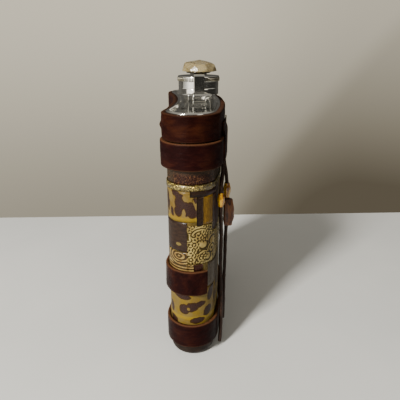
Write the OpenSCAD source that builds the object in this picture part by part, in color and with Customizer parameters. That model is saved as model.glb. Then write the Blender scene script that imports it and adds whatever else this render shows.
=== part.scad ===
// Kidney hip flask with a captive screw cap, covered in pasted papers and leather
// bands, with a stone glued on the cap and two beaded thongs hanging from a band.
// X runs across the wide faces, -Y points out of the convex face, Z points up.
// The origin is on the base, straight below the neck.

/* [Flask body] */
// Width across the two rounded edges
body_w = 94; // [78:0.5:114]
// Thickness from the convex face to the hollow face
body_t = 20.8; // [17:0.1:26]
// Height of the top plate's flat
body_h = 116.3; // [96:0.1:140]
// Bend radius of the kidney's middle line
bend_r = 165.8; // [130:0.1:220]
// Thickness of the wrapped steel wall
wall_t = 0.7; // [0.5:0.05:1.2]
// Thickness of the base plate
base_t = 1.0; // [0.6:0.1:2]
// Radius of the rounded bottom edge
edge_r = 3.2; // [2:0.1:5]
// Height of the rolled rim above the top plate's flat
rim_rise = 1.3; // [0.8:0.1:2]
// Thickness of the top plate
plate_t = 0.8; // [0.6:0.1:1.5]

/* [Neck] */
// Outer radius of the neck
neck_r = 7.4; // [6.2:0.1:9]
// Radius of the bore through the neck
neck_bore_r = 6.2; // [5.1:0.1:6.2]
// Height of the mouth above the top plate
neck_h = 8.65; // [7.2:0.05:10.4]
// How far the thread crests stand out
thread_depth = 0.3; // [0.1:0.05:0.35]
// Rise of one turn of the thread
thread_pitch = 1.6; // [1.3:0.1:1.9]

/* [Cap] */
// Radial room that the cap's rim keeps as it swings over the mouth
swing_room = 0.5; // [0.3:0.05:0.8]
// Thickness of the threaded liner
liner_t = 0.5; // [0.4:0.05:0.8]
// Thickness of the cap's skirt
skirt_t = 0.65; // [0.5:0.05:1]
// Thickness of the cap's top
cap_top_t = 0.95; // [0.6:0.05:1.5]
// Gap between the skirt and the top plate
skirt_gap = 3.6; // [3:0.1:4.5]
// How far the knurled rim stands out of the skirt
knurl_step = 0.5; // [0.3:0.05:0.8]
// Height of the knurled rim
knurl_h = 2.3; // [1.5:0.1:3]
// Number of grooves round the knurled rim
knurl_count = 48; // [24:1:60]
// Thickness of the sealing disc
gasket_t = 1.4; // [0.8:0.1:2]

/* [Captive arm] */
// Thickness of the arm's strip
arm_t = 0.9; // [0.7:0.05:1.2]
// Width of the arm's strip
arm_w = 5; // [4:0.1:6]
// Width of the knuckle at the arm's foot
knuckle_w = 5.6; // [5:0.1:7]
// Gap between the knurled rim and the arm
arm_gap = 0.65; // [0.4:0.05:1]
// Radius of the hinge pin
pin_r = 0.75; // [0.6:0.05:1]
// Height of the hinge pin above the top plate
pin_rise = 3.5; // [3.4:0.05:4.2]
// Thickness of each bracket ear
ear_t = 2.2; // [1.5:0.1:3]
// Metal round each hinge hole
eye_wall = 0.55; // [0.4:0.05:0.7]
// Radius of the rivet that the cap turns on
rivet_r = 1.5; // [1:0.1:2]

/* [Stone] */
// Width of the stone
stone_w = 17; // [12:0.1:19]
// Height of the stone
stone_h = 5.2; // [3:0.1:7]

/* [Leather] */
// Width of each leather strip
strip_w = 12.4; // [10:0.1:15]
// Thickness of the single leather
leather_t = 1.5; // [1:0.1:2.5]
// Thickness of the double-wrapped top band
double_t = 2.4; // [2:0.1:3.5]
// Height of the bottom band's lower edge
bottom_band_z = 6.6; // [5:0.1:9]
// Height of the middle band's lower edge
middle_band_z = 35.5; // [30:0.1:42]
// How far the collar stands above the top plate's flat
collar_rise = 0.9; // [0.4:0.1:1.1]
// Height of the collar's leather that shows above the top band
collar_show = 11.3; // [9:0.1:14]
// Height of the top band
top_band_w = 11.3; // [9:0.1:14]
// Thickness of the keeper strip laid over the top band
keeper_t = 0.6; // [0.4:0.05:1]

/* [Papers] */
// Thickness of one pasted paper
paper_t = 0.2; // [0.1:0.02:0.25]

/* [Thongs and beads] */
// Diameter of each leather thong
thong_d = 1.8; // [1.2:0.1:2]
// Length of each amber bead
bead_l = 7.4; // [5:0.1:9]
// Radius of each amber bead
bead_r = 1.85; // [1.5:0.05:2]

/* [Hidden] */
$fn = 64;

steel = "silver";
bright_steel = "lightgray";
dark_leather = [0.24, 0.07, 0.05];
red_leather = [0.34, 0.12, 0.07];
thong_brown = [0.13, 0.07, 0.05];

over = 1;              // how far a cutting shape runs past what it cuts
weld_gap = 0.02;       // room between two pieces that are welded or glued
running = 0.05;        // radial room of a pin or rivet in its hole
paste_gap = 0.02;      // room between the papers and the leather laid over them

// Kidney outline: two round ends joined by two arcs about the same centre.
half_t = body_t / 2;
half_angle = asin((body_w / 2 - half_t) / bend_r);
end_steps = 24;
face_steps = 16;
round_steps = 2 * (end_steps + face_steps);

// Heights
rim_z = body_h + rim_rise;
mouth_z = body_h + neck_h;
skirt_z = body_h + skirt_gap;
pin_z = body_h + pin_rise;
seal_gap = 0.05;                       // between the mouth and the sealing disc
gasket_z = mouth_z + seal_gap;
head_t = 0.5;                          // thickness of the rivet's inner head
head_z = gasket_z + gasket_t + 0.1;
washer_t = 0.5;
washer_z = head_z + head_t + running;
cap_under_z = washer_z + washer_t;
cap_top_z = cap_under_z + cap_top_t;
arm_leg_z = cap_top_z + 0.3;
arm_top_z = arm_leg_z + arm_t;
upset_t = 0.4;                         // thickness of the rivet's hammered end
glue_t = 0.8;
stone_z = arm_top_z + glue_t;

// Radii: the skirt's far side swings up about the pin and has to pass the mouth.
swing_h = mouth_z - pin_z;
outer_stack = liner_t + weld_gap + skirt_t + knurl_step + arm_gap + arm_t / 2;
mouth_reach = neck_r + swing_room;
swing_b = mouth_reach - outer_stack;
swing_c = pow(swing_h, 2) + 2 * outer_stack * mouth_reach + pow(mouth_reach, 2);
liner_r = (swing_b + sqrt(pow(swing_b, 2) + 3 * swing_c)) / 3;
shell_r = liner_r + liner_t + weld_gap;
skirt_r = shell_r + skirt_t;
knurl_r = skirt_r + knurl_step;
pin_x = -(liner_r + outer_stack);
pin_hole_r = pin_r + running;
eye_r = pin_hole_r + eye_wall;
ear_in = max(knuckle_w, arm_w) / 2 + 0.2;
ear_out = ear_in + ear_t;
thread_run = 4.2;                      // height that the thread ridges take
thread_turns = floor(thread_run / thread_pitch);

// Leather
collar_top = body_h + collar_rise;
top_band_top = collar_top - collar_show;
top_band_z = top_band_top - top_band_w;
middle_band_top = middle_band_z + strip_w;
over_papers = 3 * paper_t + paste_gap;

// Places round the outline count from the near edge's middle, towards the convex face.
front_start = end_steps / 2;
far_start = front_start + face_steps;
back_start = far_start + end_steps;

// Free height of the collage between the middle band and the top band
function row(share) = middle_band_top + share * (top_band_z - middle_band_top);
function course(n) = n * paper_t;

// Thong routes, top to bottom
outer_route = [
    [-20, -11.2, 94.3], [-20, -11.6, 91], [-20, -12.4, 86], [-20, -13, 81],
    [-20, -13.1, 76.5], [-20, -13.2, 71], [-20, -13.2, 65], [-20, -13.2, 58],
    [-20, -13, 51], [-20.5, -12.9, 43], [-21, -12.8, 35], [-22, -12.5, 27],
    [-23, -12.4, 19], [-23.5, -12.3, 12], [-24, -12.1, 5]
];
inner_route = [
    [-30, -9.8, 94.3], [-32.2, -9.8, 90.5], [-37.2, -8.9, 84.7], [-37.6, -8.75, 78.2],
    [-37.3, -8.85, 71.7], [-35, -9.3, 65], [-33.4, -9.6, 57.5], [-33, -9.6, 50],
    [-33.2, -9.6, 42], [-34, -9.8, 34], [-35.5, -10, 26], [-37, -10, 20],
    [-38.5, -9.8, 13], [-39.2, -9.6, 7], [-39.6, -9.3, 2.5]
];
bead_stop = 4;         // the route point that a bead is centred on
chunk_stop = 6;

// ---- outline and general shapes ----

function place_turn(i) = (i + end_steps / 2 + round_steps) % round_steps;

function on_near(j) = j < end_steps;
function on_front(j) = j >= end_steps && j < end_steps + face_steps;
function on_far(j) = j >= end_steps + face_steps && j < 2 * end_steps + face_steps;

function face_share(j, from) = 2 * half_angle * (j - from) / face_steps;

function way_out(j) =
    on_near(j) ? 90 - half_angle + 180 * j / end_steps :
    on_front(j) ? 270 - half_angle + face_share(j, end_steps) :
    on_far(j) ? 270 + half_angle + 180 * (j - end_steps - face_steps) / end_steps :
    90 + half_angle - face_share(j, 2 * end_steps + face_steps);

function bend_angle(j) =
    on_near(j) ? -half_angle :
    on_front(j) ? face_share(j, end_steps) - half_angle :
    on_far(j) ? half_angle :
    half_angle - face_share(j, 2 * end_steps + face_steps);

function middle_line(q) = [bend_r * sin(q), bend_r * (1 - cos(q))];

// Point at place i, grown outwards from the steel by g
function edge_point(i, g) =
    let (j = place_turn(i))
    middle_line(bend_angle(j)) + (half_t + g) * [cos(way_out(j)), sin(way_out(j))];

function outline(g) = [for (i = [0 : round_steps - 1]) edge_point(i, g)];

module slab(g, low, high) {
    translate([0, 0, low])
        linear_extrude(high - low)
            polygon(outline(g));
}

module sleeve(inner, outer, low, high) {
    translate([0, 0, low])
        linear_extrude(high - low)
            difference() {
                polygon(outline(outer));
                polygon(outline(inner));
            }
}

// A piece of sleeve from place a to place b
module patch(a, b, inner, outer, low, high) {
    out = [for (i = [a : b]) edge_point(i, outer)];
    back = [for (i = [b : -1 : a]) edge_point(i, inner)];
    translate([0, 0, low])
        linear_extrude(high - low)
            polygon(concat(out, back));
}

// A closed profile of [height, growth] points carried once round the outline.
// The profile runs up on the outside and down on the inside.
module wrap(profile) {
    n = round_steps;
    m = len(profile);
    points = [for (s = profile) for (p = outline(s[1])) [p[0], p[1], s[0]]];
    faces = [for (k = [0 : m - 1]) for (i = [0 : n - 1])
        let (low = k * n, high = (k + 1) % m * n, next = (i + 1) % n)
        each [[low + i, high + i, high + next], [low + i, high + next, low + next]]];
    polyhedron(points = points, faces = faces);
}

// Levels of the rounded bottom edge, grown by g, from step first upwards
round_edge_steps = 4;
function bottom_edge(g, first) = [for (k = [first : round_edge_steps])
    let (q = 90 * k / round_edge_steps)
    [edge_r * (1 - cos(q)), g - edge_r * (1 - sin(q))]];

// ---- steel body ----

foot_w = 1;            // flat width of the wall's foot
rim_room = half_t - neck_r;            // between the neck and the wall's outside
rim_w = 0.3 * rim_room;                // half width of the rolled rim
rim_crest_grow = -0.5 * rim_room;
dish_grow = -0.7 * rim_room;

// The wall turns under at the foot and is rolled over the top plate's edge.
module body_wall() {
    round_in = -edge_r / 2 - wall_t / 2;
    color(bright_steel)
    wrap(concat(
        bottom_edge(0, 0),
        [
            [rim_z - 0.8, 0],
            [rim_z - 0.2, -rim_w / 3],
            [rim_z, -rim_w],
            [rim_z - 0.25, rim_crest_grow],
            [body_h + weld_gap, dish_grow],
            [body_h + weld_gap, -wall_t],
            [base_t + edge_r, -wall_t],
            [base_t + edge_r / 2, round_in],
            [base_t, -edge_r],
            [base_t, -edge_r - foot_w],
            [0, -edge_r - foot_w]
        ]
    ));
}

module base_plate() {
    color(steel)
    slab(-edge_r - foot_w - weld_gap, 0, base_t);
}

module top_plate() {
    color(bright_steel)
    difference() {
        slab(-wall_t - weld_gap, body_h - plate_t, body_h);
        translate([0, 0, body_h - plate_t - over])
            cylinder(r = neck_r - 0.4 + weld_gap, h = plate_t + 2 * over);
    }
}

module neck_spout() {
    flange_r = neck_r + 0.25;          // stays on the top plate's flat
    flange_t = 0.6;
    spigot_r = neck_r - 0.4;
    spigot_z = body_h - plate_t - 0.4;
    lip = 0.3;
    crest_r = neck_r + thread_depth;
    first_z = body_h + 2.4;
    ridges = [for (k = [0 : thread_turns - 1])
        let (z = first_z + k * thread_pitch)
        each [[neck_r, z], [crest_r, z + 0.35], [crest_r, z + 0.65], [neck_r, z + 1]]];
    color(bright_steel)
    rotate_extrude()
        polygon(concat(
            [
                [neck_bore_r, spigot_z],
                [spigot_r, spigot_z],
                [spigot_r, body_h],
                [flange_r, body_h],
                [flange_r, body_h + flange_t],
                [neck_r, body_h + flange_t + 0.25]
            ],
            ridges,
            [
                [neck_r, mouth_z - lip],
                [neck_r - lip, mouth_z],
                [neck_bore_r, mouth_z]
            ]
        ));
}

// ---- captive hinge ----

// Room round the pin that the arm's foot sweeps
foot_sweep = thread_pitch + eye_r + 0.3;

module ear(side) {
    low = side > 0 ? ear_in : -ear_out;
    difference() {
        union() {
            translate([pin_x - eye_r, low, body_h])
                cube([2 * eye_r, ear_t, pin_rise]);
            translate([pin_x, low, pin_z])
                rotate([-90, 0, 0])
                    cylinder(r = eye_r + 0.1, h = ear_t);
        }
        translate([pin_x, low - over, pin_z])
            rotate([-90, 0, 0])
                cylinder(r = pin_hole_r, h = ear_t + 2 * over);
    }
}

module hinge_bracket() {
    bridge_t = 1.8;
    foot_t = 0.8;
    color(steel)
    union() {
        ear(1);
        ear(-1);
        translate([pin_x - foot_sweep - bridge_t, -ear_out, body_h])
            cube([bridge_t, 2 * ear_out, foot_t]);
        for (low = [-ear_out, ear_in])
            translate([pin_x - foot_sweep - bridge_t, low, body_h])
                cube([foot_sweep + bridge_t, ear_t, foot_t]);
    }
}

module hinge_pin() {
    head_r = pin_r + 0.4;
    pin_head_t = 0.5;
    reach = ear_out + running;
    color(bright_steel)
    translate([pin_x, 0, pin_z])
        rotate([-90, 0, 0])
            union() {
                translate([0, 0, -reach])
                    cylinder(r = pin_r, h = 2 * reach);
                translate([0, 0, -reach - pin_head_t])
                    cylinder(r = head_r, h = pin_head_t);
                translate([0, 0, reach])
                    cylinder(r = head_r, h = pin_head_t);
            }
}

module captive_arm() {
    lift = thread_pitch;
    eye_top_r = rivet_r + 2.6;
    slot_trim = 0.02;
    bend = 1.2;
    color(bright_steel)
    difference() {
        union() {
            // strip and top leg, bent from one length
            translate([0, arm_w / 2, 0])
                rotate([90, 0, 0])
                    linear_extrude(arm_w)
                        polygon([
                            [pin_x - arm_t / 2, pin_z],
                            [pin_x + arm_t / 2, pin_z],
                            [pin_x + arm_t / 2, arm_leg_z],
                            [0, arm_leg_z],
                            [0, arm_top_z],
                            [pin_x - arm_t / 2 + bend, arm_top_z],
                            [pin_x - arm_t / 2 + bend * 0.3, arm_top_z - bend * 0.3],
                            [pin_x - arm_t / 2, arm_top_z - bend]
                        ]);
            translate([0, 0, arm_leg_z])
                cylinder(r = eye_top_r, h = arm_t);
            // long eye at the foot
            translate([pin_x, -knuckle_w / 2, pin_z])
                rotate([-90, 0, 0])
                    cylinder(r = eye_r, h = knuckle_w);
            translate([pin_x, -knuckle_w / 2, pin_z - lift])
                rotate([-90, 0, 0])
                    cylinder(r = eye_r, h = knuckle_w);
            translate([pin_x - eye_r + slot_trim, -knuckle_w / 2, pin_z - lift])
                cube([2 * (eye_r - slot_trim), knuckle_w, lift]);
        }
        for (z = [pin_z, pin_z - lift])
            translate([pin_x, -knuckle_w, z])
                rotate([-90, 0, 0])
                    cylinder(r = pin_hole_r, h = 2 * knuckle_w);
        translate([pin_x - pin_hole_r + slot_trim, -knuckle_w, pin_z - lift])
            cube([2 * (pin_hole_r - slot_trim), 2 * knuckle_w, lift]);
        translate([0, 0, arm_leg_z - over])
            cylinder(r = rivet_r, h = arm_t + 2 * over);
    }
}

module swivel_rivet() {
    head_r = rivet_r + 1.1;
    upset_r = rivet_r + 0.7;
    color(steel)
    rotate_extrude()
        polygon([
            [0, head_z],
            [head_r, head_z],
            [head_r, head_z + head_t],
            [rivet_r, head_z + head_t],
            [rivet_r, arm_top_z],
            [upset_r, arm_top_z],
            [upset_r - 0.3, arm_top_z + upset_t],
            [0, arm_top_z + upset_t]
        ]);
}

module swivel_washer() {
    color(steel)
    difference() {
        translate([0, 0, washer_z])
            cylinder(r = rivet_r + 1.7, h = washer_t);
        translate([0, 0, washer_z - over])
            cylinder(r = rivet_r + running, h = washer_t + 2 * over);
    }
}

// ---- cap ----

module cap_shell() {
    groove_r = 0.35;
    knurl_z = cap_top_z - knurl_h;
    color(bright_steel)
    difference() {
        union() {
            translate([0, 0, skirt_z])
                cylinder(r = skirt_r, h = cap_top_z - skirt_z);
            translate([0, 0, knurl_z])
                linear_extrude(knurl_h)
                    difference() {
                        circle(r = knurl_r);
                        for (k = [0 : knurl_count - 1])
                            rotate(360 * k / knurl_count)
                                translate([knurl_r + 0.1, 0])
                                    circle(r = groove_r, $fn = 16);
                    }
        }
        translate([0, 0, skirt_z - over])
            cylinder(r = shell_r, h = cap_under_z - skirt_z + over);
        translate([0, 0, cap_under_z - over])
            cylinder(r = rivet_r + running, h = cap_top_t + 2 * over);
    }
}

module cap_liner() {
    groove = liner_t * 0.5;
    low = skirt_z + 0.3;
    grooves = [for (k = [thread_turns - 1 : -1 : 0])
        let (z = low + 0.8 + k * thread_pitch)
        each [[liner_r, z + 0.8], [liner_r + groove, z + 0.6],
            [liner_r + groove, z + 0.2], [liner_r, z]]];
    color(steel)
    rotate_extrude()
        polygon(concat(
            [
                [liner_r, low],
                [liner_r + liner_t, low],
                [liner_r + liner_t, gasket_z],
                [liner_r, gasket_z]
            ],
            grooves
        ));
}

module cap_gasket() {
    color("dimgray")
    translate([0, 0, gasket_z])
        cylinder(r = liner_r + liner_t, h = gasket_t);
}

// ---- stone ----

stone_edge = [
    [0.5, 0.05], [0.4, 0.33], [0.12, 0.48], [-0.2, 0.47],
    [-0.45, 0.28], [-0.49, -0.08], [-0.3, -0.42], [0.06, -0.5], [0.38, -0.35]
];

module stone_slice(share, low) {
    translate([0, 0, low])
        linear_extrude(0.1)
            polygon(stone_w * share * stone_edge);
}

module stone_glue() {
    inner = rivet_r + 0.7 + weld_gap;
    color([0.2, 0.17, 0.11])
    difference() {
        translate([0, 0, arm_top_z])
            cylinder(r = stone_w * 0.36, h = glue_t);
        translate([0, 0, arm_top_z - over])
            cylinder(r = inner, h = upset_t + over + weld_gap);
    }
}

module top_stone() {
    peak_h = 0.1;
    color([0.78, 0.74, 0.6])
    hull() {
        stone_slice(0.86, stone_z);
        stone_slice(1, stone_z + stone_h * 0.35);
        stone_slice(0.8, stone_z + stone_h * 0.66);
        translate([0.02 * stone_w, -0.1 * stone_w, 0])
            stone_slice(0.22, stone_z + stone_h - peak_h);
    }
}

// ---- leather ----

module collar_band() {
    color(red_leather)
    sleeve(weld_gap, leather_t + over_papers, top_band_top + paste_gap, collar_top);
}

module top_band() {
    color(dark_leather)
    sleeve(over_papers, over_papers + double_t, top_band_z, top_band_top);
}

// The strip starts on the convex face and ends just past the near edge.
module middle_band() {
    past_near_edge = 6;
    first = far_start - 3;
    color(dark_leather)
    patch(first, round_steps + past_near_edge, over_papers, over_papers + leather_t,
        middle_band_z, middle_band_top);
}

module bottom_band() {
    color(dark_leather)
    sleeve(over_papers, over_papers + leather_t, bottom_band_z, bottom_band_z + strip_w);
}

module thong_keeper() {
    inner = over_papers + double_t + paste_gap;
    color(red_leather)
    patch(front_start + 1, front_start + 5, inner, inner + keeper_t,
        top_band_z + 0.4, top_band_top + 6);
}

// ---- pasted papers ----
// Course 1 covers the steel all round, and courses 2 and 3 lie over it.

base_paper_top = bottom_band_z;
lower_top = middle_band_z + 2.5;
script_low = row(0.86);
script_high = top_band_z + 4;

// Its lower edge stays clear of the table.
module base_paper() {
    inside_up = bottom_edge(0, 1);
    inside_down = [for (k = [len(inside_up) - 1 : -1 : 0]) inside_up[k]];
    color([0.16, 0.09, 0.07])
    wrap(concat(
        bottom_edge(course(1), 1),
        [[base_paper_top, course(1)], [base_paper_top, 0]],
        inside_down
    ));
}

module giraffe_paper_lower() {
    color([0.66, 0.58, 0.22])
    sleeve(0, course(1), base_paper_top, lower_top);
}

module ground_paper() {
    color([0.45, 0.4, 0.2])
    sleeve(0, course(1), lower_top, script_low);
}

module script_paper() {
    color([0.3, 0.1, 0.09])
    sleeve(0, course(1), script_low, script_high);
}

module giraffe_paper_upper() {
    color([0.75, 0.67, 0.45])
    union() {
        patch(-back_start / 2, 3, course(1), course(2), row(0.506), row(0.8));
        patch(front_start + 8, far_start, course(1), course(2), row(0.1), row(0.47));
    }
}

module mustard_paper() {
    color([0.55, 0.42, 0.14])
    union() {
        patch(3, 9, course(1), course(2), row(0.474), row(0.752));
        patch(far_start + 2, far_start + 13, course(1), course(2), row(0.52), row(0.84));
    }
}

module plum_paper() {
    color([0.2, 0.12, 0.14])
    union() {
        patch(9, front_start + 2, course(1), course(2), row(0.39), row(0.752));
        patch(6, front_start + 2, course(1), course(2), row(0.752), row(0.8));
        patch(back_start + 1, back_start + 6, course(1), course(2), row(0.02), row(0.3));
    }
}

module dusk_paper() {
    color([0.23, 0.16, 0.15])
    union() {
        patch(-16, 0, course(1), course(2), row(0.197), row(0.5));
        patch(far_start - 5, far_start + 1, course(1), course(2), row(0.52), row(0.82));
    }
}

module maze_paper() {
    color([0.62, 0.56, 0.32])
    union() {
        patch(0, 9, course(1), course(2), row(0.07), row(0.47));
        patch(9, front_start + 7, course(1), course(2), row(0.07), row(0.38));
        patch(far_start + 1, back_start - 1, course(1), course(2), row(0.1), row(0.5));
    }
}

module ring_paper() {
    color([0.6, 0.52, 0.32])
    union() {
        patch(-16, 0, course(1), course(2), middle_band_top - 4, row(0.19));
        patch(0, 2, course(1), course(2), middle_band_top - 4, row(0.065));
        patch(front_start + 4, far_start - 6, course(1), course(2), row(0.5), row(0.84));
    }
}

module square_paper() {
    color([0.2, 0.08, 0.07])
    patch(2, 5, course(1), course(2), row(-0.01), row(0.065));
}

module grey_paper() {
    color([0.33, 0.28, 0.28])
    union() {
        patch(7, 14, course(1), course(2), middle_band_z + 3, row(0.06));
        patch(back_start + 7, back_start + 12, course(1), course(2), row(0.1), row(0.48));
    }
}

// A tee of dark paper laid over the giraffe and mustard papers
module tee_paper() {
    color([0.16, 0.09, 0.08])
    union() {
        patch(1, 6, course(2), course(3), row(0.752), row(0.809));
        patch(3, 5, course(2), course(3), row(0.474), row(0.752));
    }
}

module glitter_strip() {
    color([0.8, 0.68, 0.3])
    sleeve(course(2), course(3), row(0.809), row(0.863));
}

// ---- thongs and beads ----

thong_sides = 8;

function unit(v) = v / norm(v);

function route_way(route, k) =
    unit(route[min(k + 1, len(route) - 1)] - route[max(k - 1, 0)]);

function route_ring(route, k) =
    let (way = route_way(route, k), side = unit(cross([0, 1, 0], way)), up = cross(way, side))
    [for (s = [0 : thong_sides - 1])
        let (q = 360 * s / thong_sides)
        route[k] + thong_d / 2 * (cos(q) * side + sin(q) * up)];

module thong(route) {
    n = thong_sides;
    last = (len(route) - 1) * n;
    points = [for (k = [0 : len(route) - 1]) each route_ring(route, k)];
    sides = [for (k = [0 : len(route) - 2]) for (s = [0 : n - 1])
        let (a = k * n + s, b = k * n + (s + 1) % n)
        each [[a, a + n, b + n], [a, b + n, b]]];
    start = [for (s = [0 : n - 1]) s];
    end = [for (s = [n - 1 : -1 : 0]) last + s];
    polyhedron(points = points, faces = concat([start], sides, [end]));
}

module thong_outer() {
    color(thong_brown)
    thong(outer_route);
}

module thong_inner() {
    color(thong_brown)
    thong(inner_route);
}

bead_bore_r = thong_d / 2 + 0.15;

// Barrel bead whose side is an arc
module amber_bead(centre) {
    end_r = bead_bore_r + 0.35;
    side_r = (pow(bead_l / 2, 2) + pow(bead_r - end_r, 2)) / (2 * (bead_r - end_r));
    color([0.85, 0.6, 0.1])
    translate(centre)
        rotate_extrude()
            intersection() {
                translate([bead_r - side_r, 0])
                    circle(r = side_r, $fn = 120);
                translate([bead_bore_r, -bead_l / 2])
                    square([bead_r, bead_l]);
            }
}

module amber_bead_outer() {
    amber_bead(outer_route[bead_stop]);
}

module amber_bead_inner() {
    amber_bead(inner_route[bead_stop - 1]);
}

module chunk_slice(share, z) {
    translate([0, 0, z])
        linear_extrude(0.1)
            polygon(share * [[-2.6, 1.5], [2.2, 1.6], [2.9, -1.5], [1, -4.2], [-1.8, -3.6]]);
}

module brown_chunk() {
    chunk_l = 14;
    color([0.4, 0.16, 0.08])
    translate(outer_route[chunk_stop])
        difference() {
            hull() {
                chunk_slice(0.75, -chunk_l / 2);
                chunk_slice(1, -chunk_l * 0.2);
                chunk_slice(0.95, chunk_l * 0.2);
                chunk_slice(0.7, chunk_l / 2);
            }
            translate([0, 0, -chunk_l])
                cylinder(r = bead_bore_r, h = 2 * chunk_l);
        }
}

body_wall();
top_plate();
base_plate();
neck_spout();
hinge_bracket();
hinge_pin();
captive_arm();
swivel_rivet();
swivel_washer();
cap_shell();
cap_liner();
cap_gasket();
stone_glue();
top_stone();
collar_band();
top_band();
middle_band();
bottom_band();
thong_keeper();
base_paper();
giraffe_paper_lower();
ground_paper();
script_paper();
giraffe_paper_upper();
mustard_paper();
plum_paper();
dusk_paper();
maze_paper();
ring_paper();
square_paper();
grey_paper();
tee_paper();
glitter_strip();
thong_outer();
thong_inner();
amber_bead_outer();
amber_bead_inner();
brown_chunk();
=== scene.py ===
# %% [markdown]
# # A hip flask dressed in papers, leather and beads
# This lesson finishes a steel kidney flask. The flask is covered in pasted papers under varnish,
# four leather bands go round it, two beaded thongs hang from the top band, and a pale broken
# stone is glued on its captive cap. The parts that fit and move come from the frame. Everything
# here is placed from that frame, in metres.

# %% Load the frame
import math

import bmesh
import bpy
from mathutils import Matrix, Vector, noise


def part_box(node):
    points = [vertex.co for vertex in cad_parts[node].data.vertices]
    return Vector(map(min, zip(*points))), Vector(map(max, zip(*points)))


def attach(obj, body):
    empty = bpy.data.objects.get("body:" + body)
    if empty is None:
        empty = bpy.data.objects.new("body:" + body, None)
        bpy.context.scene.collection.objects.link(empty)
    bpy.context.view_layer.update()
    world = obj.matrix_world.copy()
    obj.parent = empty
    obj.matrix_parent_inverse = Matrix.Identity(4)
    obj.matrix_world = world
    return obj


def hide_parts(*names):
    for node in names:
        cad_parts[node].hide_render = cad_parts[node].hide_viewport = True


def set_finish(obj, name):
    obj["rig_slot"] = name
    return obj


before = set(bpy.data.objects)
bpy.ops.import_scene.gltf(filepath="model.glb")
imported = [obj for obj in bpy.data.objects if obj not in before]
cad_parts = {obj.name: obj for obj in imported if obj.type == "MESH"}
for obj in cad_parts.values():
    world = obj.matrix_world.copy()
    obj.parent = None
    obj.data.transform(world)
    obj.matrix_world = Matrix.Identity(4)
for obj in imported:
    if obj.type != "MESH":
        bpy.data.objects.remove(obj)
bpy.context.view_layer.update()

# %% [markdown]
# ## The camera
# The camera comes first, because the thongs are judged by what it sees. It stands off the narrow
# edge of the flask, a little above the cap, and looks slightly down.

# %% Camera
MM = 0.001
camera_data = bpy.data.cameras.new("view_camera")
camera_data.lens = 36.2
camera_data.sensor_width = 36.0
camera_data.clip_start = 0.01
camera = bpy.data.objects.new("view_camera", camera_data)
bpy.context.scene.collection.objects.link(camera)
camera.location = Vector((-203.8, 6.08, 141.96)) * MM
look = Vector((0.93309, -0.03124, -0.35828))
camera.rotation_mode = "QUATERNION"
camera.rotation_quaternion = look.to_track_quat("-Z", "Y")
bpy.context.scene.camera = camera
print("camera at", tuple(round(v, 3) for v in camera.location))

# %% [markdown]
# ## Small helpers for materials
# Every finish, grown part and light here is a tree of nodes. A tree reads better when each kind
# of node has a short helper, so a material is written as a sum of a few lines. `Tree` does that
# round one Principled BSDF.


# %% Node helpers
def put(tree, socket, value):
    """Links a node's output to a socket, or sets the socket's own value."""
    if isinstance(value, bpy.types.NodeSocket):
        tree.links.new(value, socket)
    elif socket.type == "RGBA" and len(value) == 3:
        socket.default_value = (*value, 1)
    else:
        socket.default_value = value


def add_node(tree, kind, inputs=(), **settings):
    """A new node with its settings. Its inputs go by name or number."""
    made = tree.nodes.new(kind)
    for key, value in settings.items():
        setattr(made, key, value)
    for key, value in dict(inputs).items():
        put(tree, made.inputs[key], value)
    return made


print("node helpers ready")


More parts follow.
